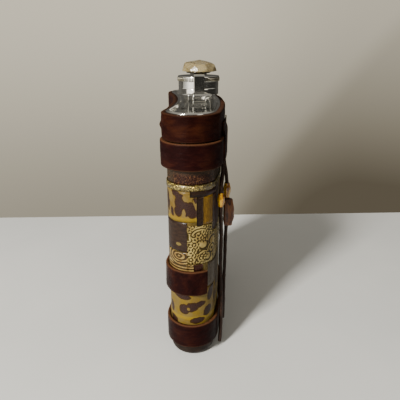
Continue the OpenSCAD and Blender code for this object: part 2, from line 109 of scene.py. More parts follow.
# %% Material helper
class Tree:
    """Builds one material around a Principled BSDF."""

    def __init__(self, name, slot=None):
        self.material = bpy.data.materials.new(name)
        self.material.use_nodes = True
        self.tree = self.material.node_tree
        self.shader = next(n for n in self.tree.nodes if n.type == "BSDF_PRINCIPLED")
        self.slot = slot

    def node(self, kind, inputs=(), **settings):
        return add_node(self.tree, "ShaderNode" + kind, inputs, **settings)

    def wrap_place(self):
        """Millimetres along the outline and up the flask, from the piece's own map."""
        return self.node("UVMap", uv_map="wrap").outputs["UV"]

    def object_place(self):
        """Millimetres in the flask's own frame."""
        place = self.node("TexCoord").outputs["Object"]
        return self.vector("SCALE", place, scale=1 / MM)

    def vector(self, operation, a, b=None, scale=None):
        inputs = {0: a, 1: b, "Scale": scale}
        given = {key: value for key, value in inputs.items() if value is not None}
        made = self.node("VectorMath", given, operation=operation)
        return made.outputs[1 if operation in ("LENGTH", "DOT_PRODUCT") else 0]

    def stretch(self, place, size, turn=0.0):
        """Stretches and turns a pattern's place."""
        return self.node("Mapping", {
            "Vector": place, "Rotation": (0, 0, turn), "Scale": size,
        }).outputs[0]

    def math(self, operation, a, b=0.0, c=0.0):
        return self.node("Math", {0: a, 1: b, 2: c}, operation=operation).outputs[0]

    def split(self, place):
        """A map place as its millimetres along and up."""
        made = self.node("SeparateXYZ", {0: place})
        return made.outputs[0], made.outputs[1]

    def noise(self, place, scale, detail=3.0, rough=0.55, bend=0.0):
        return self.node("TexNoise", {
            "Vector": place, "Scale": scale, "Detail": detail, "Roughness": rough,
            "Distortion": bend,
        }).outputs["Fac"]

    def cells(self, place, scale, feature="F1", random=1.0, out="Distance"):
        return self.node("TexVoronoi", {
            "Vector": place, "Scale": scale, "Randomness": random,
        }, feature=feature).outputs[out]

    def warp(self, place, scale, amount, detail=2.0):
        """Pushes a place about with soft noise, so straight patterns become hand made."""
        cloud = self.node("TexNoise", {"Vector": place, "Scale": scale, "Detail": detail})
        push = self.vector("SUBTRACT", cloud.outputs["Color"], (0.5, 0.5, 0.5))
        return self.vector("ADD", place, self.vector("SCALE", push, scale=amount))

    def step(self, value, low, high):
        """0 below low and 1 above high, with a soft passage between."""
        return self.node("MapRange", {
            "Value": value, "From Min": low, "From Max": high,
        }, interpolation_type="SMOOTHSTEP").outputs[0]

    def ramp(self, value, *stops):
        made = self.node("ValToRGB", {0: value})
        bar = made.color_ramp.elements
        while len(bar) < len(stops):
            bar.new(0.5)
        for mark, (at, colour) in zip(bar, stops):
            mark.position = at
            mark.color = (*colour, 1)
        return made.outputs[0]

    def mix(self, share, a, b, kind="MIX"):
        return self.node("Mix", {0: share, 6: a, 7: b}, data_type="RGBA",
                         blend_type=kind).outputs[2]

    def bump(self, height, distance_mm, strength):
        made = self.node("Bump", {
            "Height": height, "Distance": distance_mm * MM, "Strength": strength,
        })
        put(self.tree, self.shader.inputs["Normal"], made.outputs[0])

    def finish(self, **sockets):
        """Sets the shader's own sockets, by their names with _ for a space."""
        for key, value in sockets.items():
            put(self.tree, self.shader.inputs[key.replace("_", " ")], value)
        return self


print("material helper ready")

# %% [markdown]
# ## The thongs
# Two thin leather thongs hang from under the keeper on the convex face and end, simply cut, just
# above the table. A thong is a strip cut from a hide, so its section is a soft square that turns
# a little as it hangs. One smooth path runs through the chosen points, and the section is
# carried along it as a mesh.

# %% Thong routes
thong_width = 1.8
outer_route = [
    (-20, -11.2, 94.3), (-20, -11.6, 91), (-20, -12.4, 86), (-20, -13, 81),
    (-20, -13.1, 76.5), (-20, -13.2, 71), (-20, -13.2, 65), (-20, -13.2, 58),
    (-20, -13, 51), (-20.5, -12.9, 43), (-21, -12.8, 35), (-22, -12.5, 27),
    (-23, -12.4, 19), (-23.5, -12.3, 12), (-24, -12.1, 5),
]
inner_route = [
    (-30, -9.8, 94.3), (-32.2, -9.8, 90.5), (-37.2, -8.9, 84.7), (-37.6, -8.75, 78.2),
    (-37.3, -8.85, 71.7), (-35, -9.3, 65), (-33.4, -9.6, 57.5), (-33, -9.6, 50),
    (-33.2, -9.6, 42), (-34, -9.8, 34), (-35.5, -10, 26), (-37, -10, 20),
    (-38.5, -9.8, 13), (-39.2, -9.6, 7), (-39.6, -9.3, 2.5),
]


def smooth_path(route):
    """A Catmull-Rom curve through the route's points, in metres."""
    between = 6
    knots = [Vector(p) * MM for p in route]
    padded = [2 * knots[0] - knots[1], *knots, 2 * knots[-1] - knots[-2]]
    path = []
    for a, b, c, d in zip(padded, padded[1:], padded[2:], padded[3:]):
        for k in range(between):
            t = k / between
            path.append(0.5 * (2 * b + (c - a) * t + (2 * a - 5 * b + 4 * c - d) * t ** 2
                               + (3 * b - a - 3 * c + d) * t ** 3))
    return path + [knots[-1]]


outer_path = smooth_path(outer_route)
inner_path = smooth_path(inner_route)
print("thong points", len(outer_path), len(inner_path))

# %% Mesh helpers
def as_piece(name, mesh, material, smooth=True):
    """Puts a mesh into the scene in one finish. Its place is in its mesh."""
    if not mesh.materials:
        mesh.materials.append(material.material)
    mesh.polygons.foreach_set("use_smooth", [smooth] * len(mesh.polygons))
    piece = bpy.data.objects.new(name, mesh)
    bpy.context.scene.collection.objects.link(piece)
    piece["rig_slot"] = material.slot or ""
    return piece


def new_piece(name, points, faces, material):
    """A piece from points in metres."""
    mesh = bpy.data.meshes.new(name)
    mesh.from_pydata([tuple(p) for p in points], [], faces)
    mesh.update()
    return as_piece(name, mesh, material)


def settle(piece, body, *nodes):
    """Rides a piece on its body and lets it stand for its plain CAD solids."""
    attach(piece, body)
    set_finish(piece, piece["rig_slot"])
    if nodes:
        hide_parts(*nodes)
    triangles = sum(len(p.vertices) - 2 for p in piece.data.polygons)
    print(piece.name, "rides on", body, "with", triangles, "triangles")
    return piece


def wrap_map(piece, along, up):
    """Writes the map that patterns follow: millimetres along and up, one pair a corner."""
    layer = piece.data.uv_layers.new(name="wrap")
    corner = 0
    for face in piece.data.polygons:
        marks = [along[v] for v in face.vertices]
        seam = max(marks) - min(marks) > OUTLINE_LENGTH / 2
        for v, mark in zip(face.vertices, marks):
            whole = mark + OUTLINE_LENGTH if seam and mark < OUTLINE_LENGTH / 4 else mark
            layer.data[corner].uv = (whole, up[v])
            corner += 1


def sweep(path, section, turn_each=0.0, swell=None):
    """Rings of a section along a path, with closed ends, as points and faces."""
    points, run = [], 0.0
    for k, at in enumerate(path):
        ahead = path[min(k + 1, len(path) - 1)] - path[max(k - 1, 0)]
        way = ahead.normalized()
        side = Vector((0, 1, 0)).cross(way).normalized()
        over = way.cross(side)
        run += (at - path[k - 1]).length if k else 0.0
        grow = swell(run) if swell else 1.0
        turn = turn_each * run
        for across, out in section:
            a = across * math.cos(turn) - out * math.sin(turn)
            b = across * math.sin(turn) + out * math.cos(turn)
            points.append(at + (a * side + b * over) * grow)
    count = len(section)
    faces = []
    for k in range(len(path) - 1):
        for s in range(count):
            t = (s + 1) % count
            a, b = k * count, (k + 1) * count
            faces.append((a + s, b + s, b + t, a + t))
    last = (len(path) - 1) * count
    faces.append(tuple(range(count)))
    faces.append(tuple(last + s for s in reversed(range(count))))
    return points, faces


def soft_square(half):
    """A square section with rounded corners, as a superellipse."""
    power, count = 3.2, 16
    ring = []
    for k in range(count):
        q = 2 * math.pi * k / count
        c, s = math.cos(q), math.sin(q)
        reach = (abs(c) ** power + abs(s) ** power) ** (-1 / power)
        ring.append((half * reach * c, half * reach * s))
    return ring


print("mesh helpers ready")

# %% Thong leather
def thong_finish():
    t = Tree("thong_leather", "thong_leather")
    place = t.object_place()
    grain = t.noise(t.stretch(place, (1.6, 1.6, 0.5)), 1.2, 5)
    t.bump(t.noise(place, 2.4, 4), 0.12, 0.7)
    return t.finish(
        Base_Color=t.ramp(grain, (0.3, (0.006, 0.003, 0.002)), (0.6, (0.028, 0.013, 0.008)),
                          (0.8, (0.08, 0.04, 0.022))),
        Roughness=t.ramp(grain, (0.3, (0.38,) * 3), (0.7, (0.62,) * 3)),
        Specular_IOR_Level=0.15,
    )


thong_leather = thong_finish()
print("thong leather has", len(thong_leather.tree.nodes), "nodes")


def make_thong(name, path):
    section = soft_square(thong_width * 0.46 * MM)
    points, faces = sweep(path, section, turn_each=28.0,
                          swell=lambda run: 1 + 0.05 * math.sin(run * 900))
    thong = new_piece(name, points, faces, thong_leather)
    settle(thong, "flask", name.replace("_leather", ""))
    return thong


# %% [markdown]
# ## The beads
# The amber beads are worn, slightly faceted nuggets, and the brown piece is a rough split of
# stone with a hole. Each is a closed ring of points carried round its own bore, so that the
# thong really runs through it. Random chips come from noise, which is the same every run.


# %% Bead finishes
def amber_finish():
    t = Tree("amber", "amber")
    place = t.object_place()
    cloud = t.noise(t.stretch(place, (1, 1, 0.5)), 0.55, 4, bend=0.6)
    t.bump(t.noise(place, 1.6, 3), 0.15, 0.35)
    return t.finish(
        Base_Color=t.ramp(cloud, (0.36, (0.09, 0.022, 0.0)), (0.48, (0.3, 0.12, 0.0)),
                          (0.62, (0.46, 0.26, 0.0))),
        Roughness=0.2, IOR=1.54, Subsurface_Weight=0.1, Subsurface_Radius=(1.0, 0.5, 0.05),
        Subsurface_Scale=0.0012, Coat_Weight=0.3, Coat_Roughness=0.06,
    )


def brown_stone_finish():
    t = Tree("brown_stone", "brown_stone")
    place = t.object_place()
    cloud = t.noise(t.stretch(place, (1, 1, 0.35)), 0.5, 5, bend=0.8)
    t.bump(t.noise(place, 1.2, 6), 0.25, 0.6)
    return t.finish(
        Base_Color=t.ramp(cloud, (0.35, (0.03, 0.012, 0.006)), (0.5, (0.11, 0.03, 0.008)),
                          (0.68, (0.2, 0.075, 0.02))),
        Roughness=t.ramp(cloud, (0.3, (0.22,) * 3), (0.7, (0.5,) * 3)),
        Specular_IOR_Level=0.25, Coat_Weight=0.15, Coat_Roughness=0.2,
    )


amber = amber_finish()
brown_stone = brown_stone_finish()
print("bead finishes ready")


# %% Bead shapes
def bored_bead(name, centre, profile, outline, bore, finish, seed, chip):
    """A bead round an upright bore. profile gives (height, share) pairs from low to high, and
    outline(angle) its reach in mm, before noise chips it."""
    count = 40
    points = []

    def ring(reach, height):
        for k in range(count):
            q = 2 * math.pi * k / count
            r = reach(q)
            points.append(Vector((r * math.cos(q), r * math.sin(q), height)))

    def chipped(share, height):
        def reach(q):
            spot = Vector((math.cos(q), math.sin(q), height * 0.35)) * 1.3
            rough = noise.noise(spot + Vector((seed, 0, 0))) * chip
            return max(outline(q) * share * (1 - abs(rough)), bore + 0.12)
        return reach

    for height, share in profile:
        ring(chipped(share, height), height)
    for height in (profile[-1][0], profile[0][0]):
        ring(lambda q: bore, height)
    rings = len(profile) + 2
    faces = []
    for r in range(rings):
        a, b = r * count, (r + 1) % rings * count
        for k in range(count):
            n = (k + 1) % count
            faces.append((a + k, a + n, b + n, b + k))
    middle = Vector(centre)
    return new_piece(name, [(p + middle) * MM for p in points], faces, finish)


def barrel(length, waist, end):
    """(height, share) pairs of a barrel side with softened ends."""
    steps = 12
    pairs = [(-length / 2, end * 0.93)]
    for k in range(steps + 1):
        x = 2 * k / steps - 1
        pairs.append((x * length / 2 * 0.96, waist - (waist - end) * x * x))
    return pairs + [(length / 2, end * 0.93)]


def facets(corners):
    """Reach of a polygon with given corners, seen from its middle, in mm."""
    def reach(q):
        way = Vector((math.cos(q), math.sin(q)))
        best = 1e9
        for a, b in zip(corners, corners[1:] + corners[:1]):
            edge = Vector(b) - Vector(a)
            out = Vector((edge.y, -edge.x))
            if out.dot(Vector(a)) < 0:
                out = -out
            if way.dot(out) > 1e-6:
                best = min(best, out.dot(Vector(a)) / way.dot(out))
        return best
    return reach


bore = thong_width / 2 + 0.15
nugget = facets([(1.95, 0.5), (0.9, 1.7), (-0.8, 1.75), (-1.9, 0.6), (-1.7, -0.9),
                 (-0.3, -1.9), (1.4, -1.3)])
split = facets([(2.9, -1.5), (2.2, 1.6), (-2.6, 1.5), (-1.8, -3.6), (1, -4.2)])
amber_outer = bored_bead("amber_bead_outer_stone", outer_route[4], barrel(7.3, 1.0, 0.72),
                         nugget, bore, amber, 3.0, 0.16)
amber_inner = bored_bead("amber_bead_inner_stone", inner_route[3], barrel(6.5, 0.94, 0.62),
                         nugget, bore, amber, 8.0, 0.16)
chunk_profile = [(-7, 0.68), (-6.7, 0.75), (-4.6, 0.9), (-2.8, 1.0), (-0.6, 0.93), (0.9, 0.98),
                 (2.8, 0.95), (4.6, 0.84), (6.4, 0.74), (6.95, 0.66)]
chunk = bored_bead("brown_chunk_stone", outer_route[6], chunk_profile, split, bore,
                   brown_stone, 5.0, 0.22)
for bead, node in ((amber_outer, "amber_bead_outer"), (amber_inner, "amber_bead_inner"),
                   (chunk, "brown_chunk")):
    settle(bead, "flask", node)

# %% Hang the thongs
make_thong("thong_outer_leather", outer_path)
make_thong("thong_inner_leather", inner_path)

# %% [markdown]
# ## The kidney outline
# The flask's plan has two round ends joined by two arcs with one centre. Every wrapped piece
# follows it, so one function gives the point at a place round the outline. Places count from the
# middle of the near edge towards the convex face, as they do in the design, and a second function
# turns a place into millimetres along the outline for the patterns.

# %% Outline
body_width, body_depth, bend_radius = 94.0, 20.8, 165.8
half_depth = body_depth / 2
lean = math.asin((body_width / 2 - half_depth) / bend_radius)
END, FACE = 24, 16
ROUND = 2 * (END + FACE)
END_STEP = math.pi * 11 / END
FRONT_STEP = 2 * lean * (bend_radius + 11) / FACE
BACK_STEP = 2 * lean * (bend_radius - 11) / FACE
OUTLINE_LENGTH = 2 * END * END_STEP + FACE * (FRONT_STEP + BACK_STEP)


def edge_point(i, grow):
    """The point at place i, grown outwards from the steel by grow mm."""
    j = (i + END / 2) % ROUND
    if j < END:
        out, bend = math.pi / 2 - lean + math.pi * j / END, -lean
    elif j < END + FACE:
        bend = -lean + 2 * lean * (j - END) / FACE
        out = 1.5 * math.pi + bend
    elif j < 2 * END + FACE:
        out, bend = 1.5 * math.pi + lean + math.pi * (j - END - FACE) / END, lean
    else:
        bend = lean - 2 * lean * (j - 2 * END - FACE) / FACE
        out = math.pi / 2 + bend
    reach = half_depth + grow
    x = bend_radius * math.sin(bend) + reach * math.cos(out)
    y = bend_radius * (1 - math.cos(bend)) + reach * math.sin(out)
    return x, y


def along(i):
    """Millimetres from the near edge's middle to place i."""
    j = i + END / 2
    ends = min(j, END) + min(max(j - END - FACE, 0), END)
    front = min(max(j - END, 0), FACE)
    back = max(j - 2 * END - FACE, 0)
    return ends * END_STEP + front * FRONT_STEP + back * BACK_STEP - END / 2 * END_STEP


def place_list(first, last, finest=0.6):
    """Places from first to last with a step of about finest mm along the outline."""
    places = [first]
    while places[-1] < last - 1e-6:
        j = (places[-1] + END / 2 + 1e-6) % ROUND
        curved = j < END or END + FACE <= j < 2 * END + FACE
        step = finest / END_STEP if curved else 2.2 * finest / FRONT_STEP
        whole = math.floor(places[-1] + 1e-6) + 1
        places.append(min(places[-1] + step, last, whole if whole - places[-1] > 1e-4 else last))
    return places


print("outline is", round(OUTLINE_LENGTH, 1), "mm round")


# %% [markdown]
# ## Wrapped pieces
# Bands, papers and the steel wall are all one kind of shape: a closed section of (height, growth)
# points carried round the outline, all the way or from one place to another. `wrapped` makes it.
# The section may change with the place, which gives torn edges, soft wrinkles and lumps.


# %% Wrapped piece
def wrapped(name, section_at, places, material, closed):
    """section_at(place) gives (height, growth, cut) points in mm, up the outside and down the
    inside. cut is 1 where the raw cut edge shows."""
    points, ups, alongs, cuts = [], [], [], []
    for i in places:
        for height, grow, cut in section_at(i):
            x, y = edge_point(i, grow)
            points.append(Vector((x, y, height)) * MM)
            ups.append(height)
            alongs.append(along(i))
            cuts.append(cut)
    size = len(points) // len(places)
    columns = len(places)
    faces = []
    for c in range(columns if closed else columns - 1):
        a, b = c * size, (c + 1) % columns * size
        for s in range(size):
            n = (s + 1) % size
            faces.append((a + s, b + s, b + n, a + n))
    if not closed:
        faces.append(tuple(reversed(range(size))))
        faces.append(tuple((columns - 1) * size + s for s in range(size)))
    piece = new_piece(name, points, faces, material)
    wrap_map(piece, alongs, ups)
    mark = piece.data.attributes.new("cut_edge", "FLOAT", "POINT")
    mark.data.foreach_set("value", cuts)
    return piece


def all_round(finest=0.6):
    return place_list(-END / 2, ROUND - END / 2, finest)[:-1]


def soft(x, y, seed, scale):
    """Noise from -1 to 1 at a point on the unrolled outline."""
    q = 2 * math.pi * x / OUTLINE_LENGTH
    r = OUTLINE_LENGTH / (2 * math.pi)
    return noise.noise(Vector((math.cos(q) * r, math.sin(q) * r, y)) * scale
                       + Vector((seed, seed * 0.7, 0)))


print("wrapping ready")

# %% [markdown]
# ## Leather
# The bands are cut strips of oiled leather. The face is almost black oxblood with warmer, worn patches,
# and the raw edges are tan. One warm patch near a given place is a painted highlight, where the light
# grazes the band. A `cut_edge` attribute tells the material where the knife went, and fine cells give
# the grain its pebbles.


# %% Leather finishes
def leather_finish(name, dark, middle, light, highlight_at, slot, edge):
    t = Tree(name, slot)
    place = t.wrap_place()
    cloud = t.noise(t.stretch(place, (0.55, 1, 1)), 0.14, 5, bend=0.5)
    creases = t.noise(t.stretch(place, (0.35, 1.4, 1)), 0.7, 6, 0.65, bend=0.8)
    pebble = t.cells(t.warp(place, 1.2, 0.4), 2.3, "SMOOTH_F1")
    pores = t.step(t.cells(place, 1.4), 0.0, 0.16)
    face = t.ramp(t.math("MULTIPLY_ADD", creases, 0.35, t.math("MULTIPLY", cloud, 0.7)),
                  (0.36, dark), (0.52, middle), (0.72, light))
    cut = t.node("Attribute", attribute_name="cut_edge").outputs["Fac"]
    fibres = t.noise(t.stretch(place, (2.2, 8, 1)), 1.1, 5)
    raw = t.ramp(fibres, (0.3, tuple(c * 0.45 for c in edge)), (0.7, edge))
    worn = t.step(cut, 0.08, 0.9)
    # Painted highlight: a warm, lighter patch near one place on the piece, where the light grazes the
    # band
    far = t.vector("LENGTH", t.vector("MULTIPLY", t.vector("SUBTRACT", place, highlight_at),
                                      (0.16, 0.28, 0)))
    glow = t.math("MULTIPLY", t.step(far, 1.15, 0.1), t.step(cloud, 0.3, 0.62))
    face = t.mix(t.math("MULTIPLY", glow, 0.7), face, tuple(c * 2.1 for c in light))
    height = t.math("ADD", t.math("MULTIPLY", pebble, 0.4),
                    t.math("ADD", creases, t.math("MULTIPLY", pores, 0.25)))
    t.bump(height, 0.22, 0.55)
    return t.finish(
        Base_Color=t.mix(worn, face, raw),
        Roughness=t.math("ADD", t.math("MULTIPLY", worn, 0.3),
                         t.math("MULTIPLY_ADD", creases, 0.3, 0.2)),
        Specular_IOR_Level=0.03,
    )


# The place given after each leather's three colours is where its painted highlight lies
dark_leather = leather_finish("dark_leather", (0.0045, 0.0012, 0.0012), (0.011, 0.0022, 0.002),
                              (0.028, 0.0075, 0.004), (24, 100, 0), "dark_leather",
                              (0.1, 0.042, 0.019))
red_leather = leather_finish("red_leather", (0.005, 0.0011, 0.0009), (0.012, 0.0025, 0.0016),
                             (0.028, 0.0075, 0.003), (-15, 113, 0), "red_leather",
                             (0.05, 0.02, 0.01))
print("leather ready")


# %% Leather sections
def rounded_section(low, high, inner, outer, corner, rows, rise):
    """A strip's section: up the outside with rounded corners, then down the plain inside.
    rise(h) adds growth to the outside at height h."""
    ring = []
    turns = 4
    for k in range(turns + 1):
        q = math.pi / 2 * k / turns
        h = low + corner * (1 - math.cos(q))
        g = outer - corner * (1 - math.sin(q))
        ring.append((h, g + rise(h), 1.0 - 0.7 * k / turns))
    for k in range(1, rows):
        h = low + corner + (high - low - 2 * corner) * k / rows
        ring.append((h, outer + rise(h), 0.0))
    for k in range(turns + 1):
        q = math.pi / 2 * k / turns
        fold = corner * (1 - math.cos(q))
        h = high - corner * (1 - math.sin(q))
        ring.append((h, outer - fold + rise(high - fold), 0.3 + 0.7 * k / turns))
    return ring + [(high, inner, 1.0), (low, inner, 1.0)]


def leather_strip(name, node, inner, thick, material, seed, wave, edge_wave=0.18, lumps=(),
                  ends=None):
    """A band with a wavy cut, shallow wrinkles and lumps of (along, height, size, rise). It
    goes all round unless it has two ends."""
    low, high = height_of(node)
    corner, rows = 0.42, 16

    def section(i):
        u = along(i)
        down = low + edge_wave * (0.5 + 0.5 * soft(u, low, seed, 0.09))
        top = high - edge_wave * (0.5 + 0.5 * soft(u, high, seed + 4, 0.09))

        def rise(h):
            swell = wave * (soft(u, h, seed, 0.11) - 0.4) + wave * 0.4 * soft(u, h * 2, seed, 0.4)
            for at, lift, size, amount in lumps:
                swell += amount * math.exp(-((u - at) ** 2 + (h - lift) ** 2) / size ** 2)
            return swell
        return rounded_section(down, top, inner, over_papers + thick, corner, rows, rise)
    places = place_list(*ends) if ends else all_round()
    return settle(wrapped(name, section, places, material, not ends), "flask", node)


def height_of(node):
    """A node's lowest and highest millimetre."""
    low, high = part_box(node)
    return low.z / MM, high.z / MM


PAPER = 0.2
over_papers = 3 * PAPER + 0.02
leather_thick, double_thick = 1.5, 2.4
leather_strip("collar_leather", "collar_band", 0.02, leather_thick, red_leather, 11, 0.3, 0.35,
              [(-14.5, 111.6, 1.3, 0.75), (9, 107.5, 4, -0.25)])
leather_strip("top_band_leather", "top_band", over_papers, double_thick, dark_leather, 23, 0.24,
              0.3, [(20, 97, 4, 0.1)])
leather_strip("bottom_band_leather", "bottom_band", over_papers, leather_thick, dark_leather, 37,
              0.22)
leather_strip("middle_band_leather", "middle_band", over_papers, leather_thick, dark_leather, 53,
              0.24, ends=(END / 2 + FACE - 3, ROUND + 6))

# %% [markdown]
# ## The keeper
# The thongs start under a thin flap of leather laid over the top band on the convex face. It is
# longer than the band, so it is wrapped like a band with a section that lies back against the
# collar above it.

# %% Keeper
top_low, top_high = height_of("top_band")
keeper_low, keeper_high = height_of("thong_keeper")
keeper_inner = over_papers + double_thick + 0.02
keeper_thick = 0.6


def keeper_section(i):
    u = along(i)
    rows = 16

    def rise(h):
        """Above the band it lies back against the collar."""
        up = min(max((h - top_high - 0.3) / 3, 0), 1)
        return 0.12 * soft(u, h, 71, 0.3) - 0.1 - 0.72 * up * up * (3 - 2 * up)
    low = keeper_low + 0.3 * abs(soft(u, 3, 71, 0.2))
    ring = rounded_section(low, keeper_high, keeper_inner, keeper_inner + keeper_thick, 0.2,
                           rows, rise)
    inside = [(keeper_low + (keeper_high - keeper_low) * k / 8) for k in range(8, -1, -1)]
    return ring[:-2] + [(max(h, low), keeper_inner + rise(h) + 0.1 - 0.12 * soft(u, h, 71, 0.3),
                         1.0) for h in inside]


keeper = wrapped("keeper_leather", keeper_section, place_list(END / 2 + 1, END / 2 + 5),
                 red_leather, False)
settle(keeper, "flask", "thong_keeper")

# %% [markdown]
# ## Pasted papers
# Scraps of patterned paper are pasted over the steel and varnished. Each scrap is its own thin
# sheet with a slightly uneven cut, and its print is a procedural pattern on the wrap map, in real
# millimetres. The prints share one varnish: a clear coat that is a little wavy and has yellowed.


# %% Varnish
def varnish(t, colour, height, depth=0.12, tone=(0.74, 0.71, 0.53)):
    """The paper's own shader settings under one coat of varnish, yellowed to a tone."""
    place = t.wrap_place()
    colour = t.mix(1.0, colour, tone, "MULTIPLY")
    brush = t.noise(t.stretch(place, (0.5, 1.5, 1)), 0.5, 4)
    wrinkle = t.noise(t.stretch(place, (0.7, 1.0, 1)), 0.16, 3, bend=1.2)
    age = t.noise(place, 0.09, 4)
    warm = t.mix(t.math("MULTIPLY", t.step(age, 0.42, 0.7), 0.35), colour,
                 (0.62, 0.42, 0.2), "MULTIPLY")
    relief = t.math("ADD", t.math("MULTIPLY", height, 0.5),
                    t.math("ADD", t.math("MULTIPLY", brush, 0.35),
                           t.math("MULTIPLY", wrinkle, 0.9)))
    t.bump(relief, depth, 0.8)
    return t.finish(Base_Color=warm, Roughness=t.math("MULTIPLY_ADD", brush, 0.25, 0.35),
                    Specular_IOR_Level=0.1, Coat_Weight=0.1, Coat_Roughness=0.13)


def speckle(t, place, scale, low, high):
    """Fine dots of a second colour."""
    return t.step(t.noise(place, scale, 2), low, high)


print("varnish ready")


# %% [markdown]
# ## Giraffe prints
# A giraffe hide is dark patches with pale lines between. Random cells give the hidden sides. On the near
# edge the patches are listed as soft ellipses, and noise pushes their outlines about.


# %% Giraffe
def patches(t, place, spots):
    """The nearest of some listed ellipses: below 1 inside a patch."""
    nearest = None
    for across, up, half_wide, half_high, turn in spots:
        near = t.vector("SUBTRACT", place, (across, up, 0))
        local = t.stretch(near, (1, 1, 1), turn=-math.radians(turn))
        near = t.vector("MULTIPLY", local, (1 / half_wide, 1 / half_high, 0))
        far = t.vector("LENGTH", near)
        nearest = far if nearest is None else t.math("MINIMUM", nearest, far)
    return nearest


def giraffe_finish(name, spots, notches, window, border, ground, gold):
    """window is where the listed spots rule (along), and border the heights of a gold edge."""
    t = Tree(name, "giraffe_paper")
    flat = t.wrap_place()
    place = t.warp(flat, 0.4, 1.5, 3)
    own = t.math("MAXIMUM", patches(t, place, spots),
                 t.math("SUBTRACT", 2.0, patches(t, t.warp(flat, 0.7, 0.6), notches)))
    gap = t.cells(t.warp(flat, 0.32, 2.2, 3), 0.13, "DISTANCE_TO_EDGE", 0.85)
    wild = t.math("SUBTRACT", 1.9, t.math("MULTIPLY", gap, 8.0))
    across, up = t.split(flat)
    inside = t.math("MULTIPLY", t.step(across, window[0] - 0.3, window[0] + 0.3),
                    t.step(across, window[1] + 0.3, window[1] - 0.3))
    depth = t.math("ADD", t.math("MULTIPLY", inside, own),
                   t.math("MULTIPLY", t.math("SUBTRACT", 1.0, inside), wild))
    spot = t.step(depth, 1.05, 0.95)
    core = t.step(depth, 0.86, 0.68)
    dots = speckle(t, flat, 2.6, 0.38, 0.66)
    fur = t.noise(t.stretch(flat, (1, 2.4, 1)), 1.6, 4)
    purple = t.mix(dots, (0.014, 0.006, 0.007), (0.05, 0.023, 0.021))
    brown = t.mix(core, t.mix(fur, (0.02, 0.008, 0.001), (0.05, 0.022, 0.004)), purple)
    shade = t.noise(flat, 0.22, 4)
    pale = t.mix(t.step(shade, 0.42, 0.62), ground, gold)
    pale = t.mix(t.math("MULTIPLY", fur, 0.45), pale, (0.09, 0.05, 0.012))
    edge = t.math("MULTIPLY", t.step(up, border[0], border[0] + 0.5),
                  t.step(up, border[1] + 0.7, border[1]))
    pale = t.mix(t.math("MULTIPLY", edge, 0.8), pale, (0.26, 0.175, 0.008))
    return varnish(t, t.mix(spot, pale, brown), t.math("SUBTRACT", 1.0, spot))


upper_spots = [
    (-5.6, 84.4, 2.3, 1.7, -20), (-3.4, 82.7, 2.6, 1.7, -10), (-3.4, 79.9, 2.8, 2.6, 0),
    (-0.6, 78.8, 3.2, 2.2, -8), (2.0, 78.6, 2.0, 2.6, 20), (2.4, 75.8, 2.5, 2.4, 0),
    (-3.9, 76.4, 2.2, 2.6, -10), (0.2, 76.2, 1.6, 2.0, 0), (-11.4, 79.6, 1.7, 4.8, 6),
    (-7.6, 75.2, 1.0, 2.2, 12), (3.7, 81.6, 1.1, 1.3, 30), (-13.0, 73.0, 1.4, 1.4, 0),
]
upper_notches = [(-0.3, 82.5, 1.6, 1.5, 0), (-1.3, 75.4, 0.8, 2.1, 0), (3.6, 79.4, 0.45, 3.0, 20)]
upper_giraffe = giraffe_finish("giraffe_print_upper", upper_spots, upper_notches, (-14, 4.4),
                               (71.0, 73.2), (0.2, 0.145, 0.055), (0.17, 0.115, 0.018))
lower_spots = [
    (-1.9, 27.0, 2.9, 2.9, -10), (1.8, 28.2, 3.8, 2.7, 18), (5.8, 29.6, 3.2, 1.7, 14),
    (-3.0, 33.8, 4.8, 1.7, -6), (10.4, 25.2, 2.3, 3.2, -38), (4.8, 20.8, 3.8, 1.7, 4),
    (-10.0, 26.0, 1.6, 3.0, 8), (-8.4, 19.6, 2.8, 1.9, -20), (12.8, 34.6, 2.3, 4.6, -24),
    (17.4, 29.0, 1.9, 4.4, 6),
]
lower_notches = [(0.2, 27.3, 0.75, 0.9, 30)]
lower_giraffe = giraffe_finish("giraffe_print_lower", lower_spots, lower_notches, (-14, 20),
                               (21.0, 22.6), (0.19, 0.14, 0.048), (0.2, 0.135, 0.012))
print("giraffe patches", len(upper_spots), len(lower_spots))


# %% [markdown]
# ## Labyrinth and ring prints
# Worm lines of one width that never cross come from adding a few waves of the same length in different
# directions and cutting the sum at zero. Rings come from the distance to a centre: one is given, and
# random cells give the others.


# %% Labyrinth and rings
def labyrinth(t, place, pitch, directions=7):
    """Adds equal waves in several directions. The sum's sign draws worm lines."""
    total = None
    for k in range(directions):
        q = math.pi * k / directions + 0.17 * (k % 3)
        way = (math.cos(q) * 2 * math.pi / pitch, math.sin(q) * 2 * math.pi / pitch, 0)
        wave = t.math("SINE", t.math("ADD", t.vector("DOT_PRODUCT", place, way), 1.9 * k * k))
        total = wave if total is None else t.math("ADD", total, wave)
    return total


def maze_finish():
    t = Tree("maze_print", "maze_paper")
    flat = t.wrap_place()
    worms = t.math("MULTIPLY", labyrinth(t, t.warp(flat, 0.2, 1.6, 3), 1.3), 0.45)
    arcs = t.math("SINE", t.math("MULTIPLY", t.cells(t.warp(flat, 0.3, 1.3), 0.17, random=0.9),
                                 2 * math.pi / 0.17 / 1.3))
    line = t.step(t.mix(t.step(t.noise(flat, 0.13, 2), 0.47, 0.5), arcs, worms), -0.2, 0.3)
    shade = t.noise(flat, 0.17, 4)
    pale = t.mix(t.step(shade, 0.35, 0.65), (0.19, 0.135, 0.042), (0.32, 0.25, 0.1))
    deep = t.mix(t.step(shade, 0.4, 0.7), (0.02, 0.012, 0.002), (0.05, 0.034, 0.005))
    return varnish(t, t.mix(line, deep, pale), line, 0.16, tone=(1, 1, 0.9))


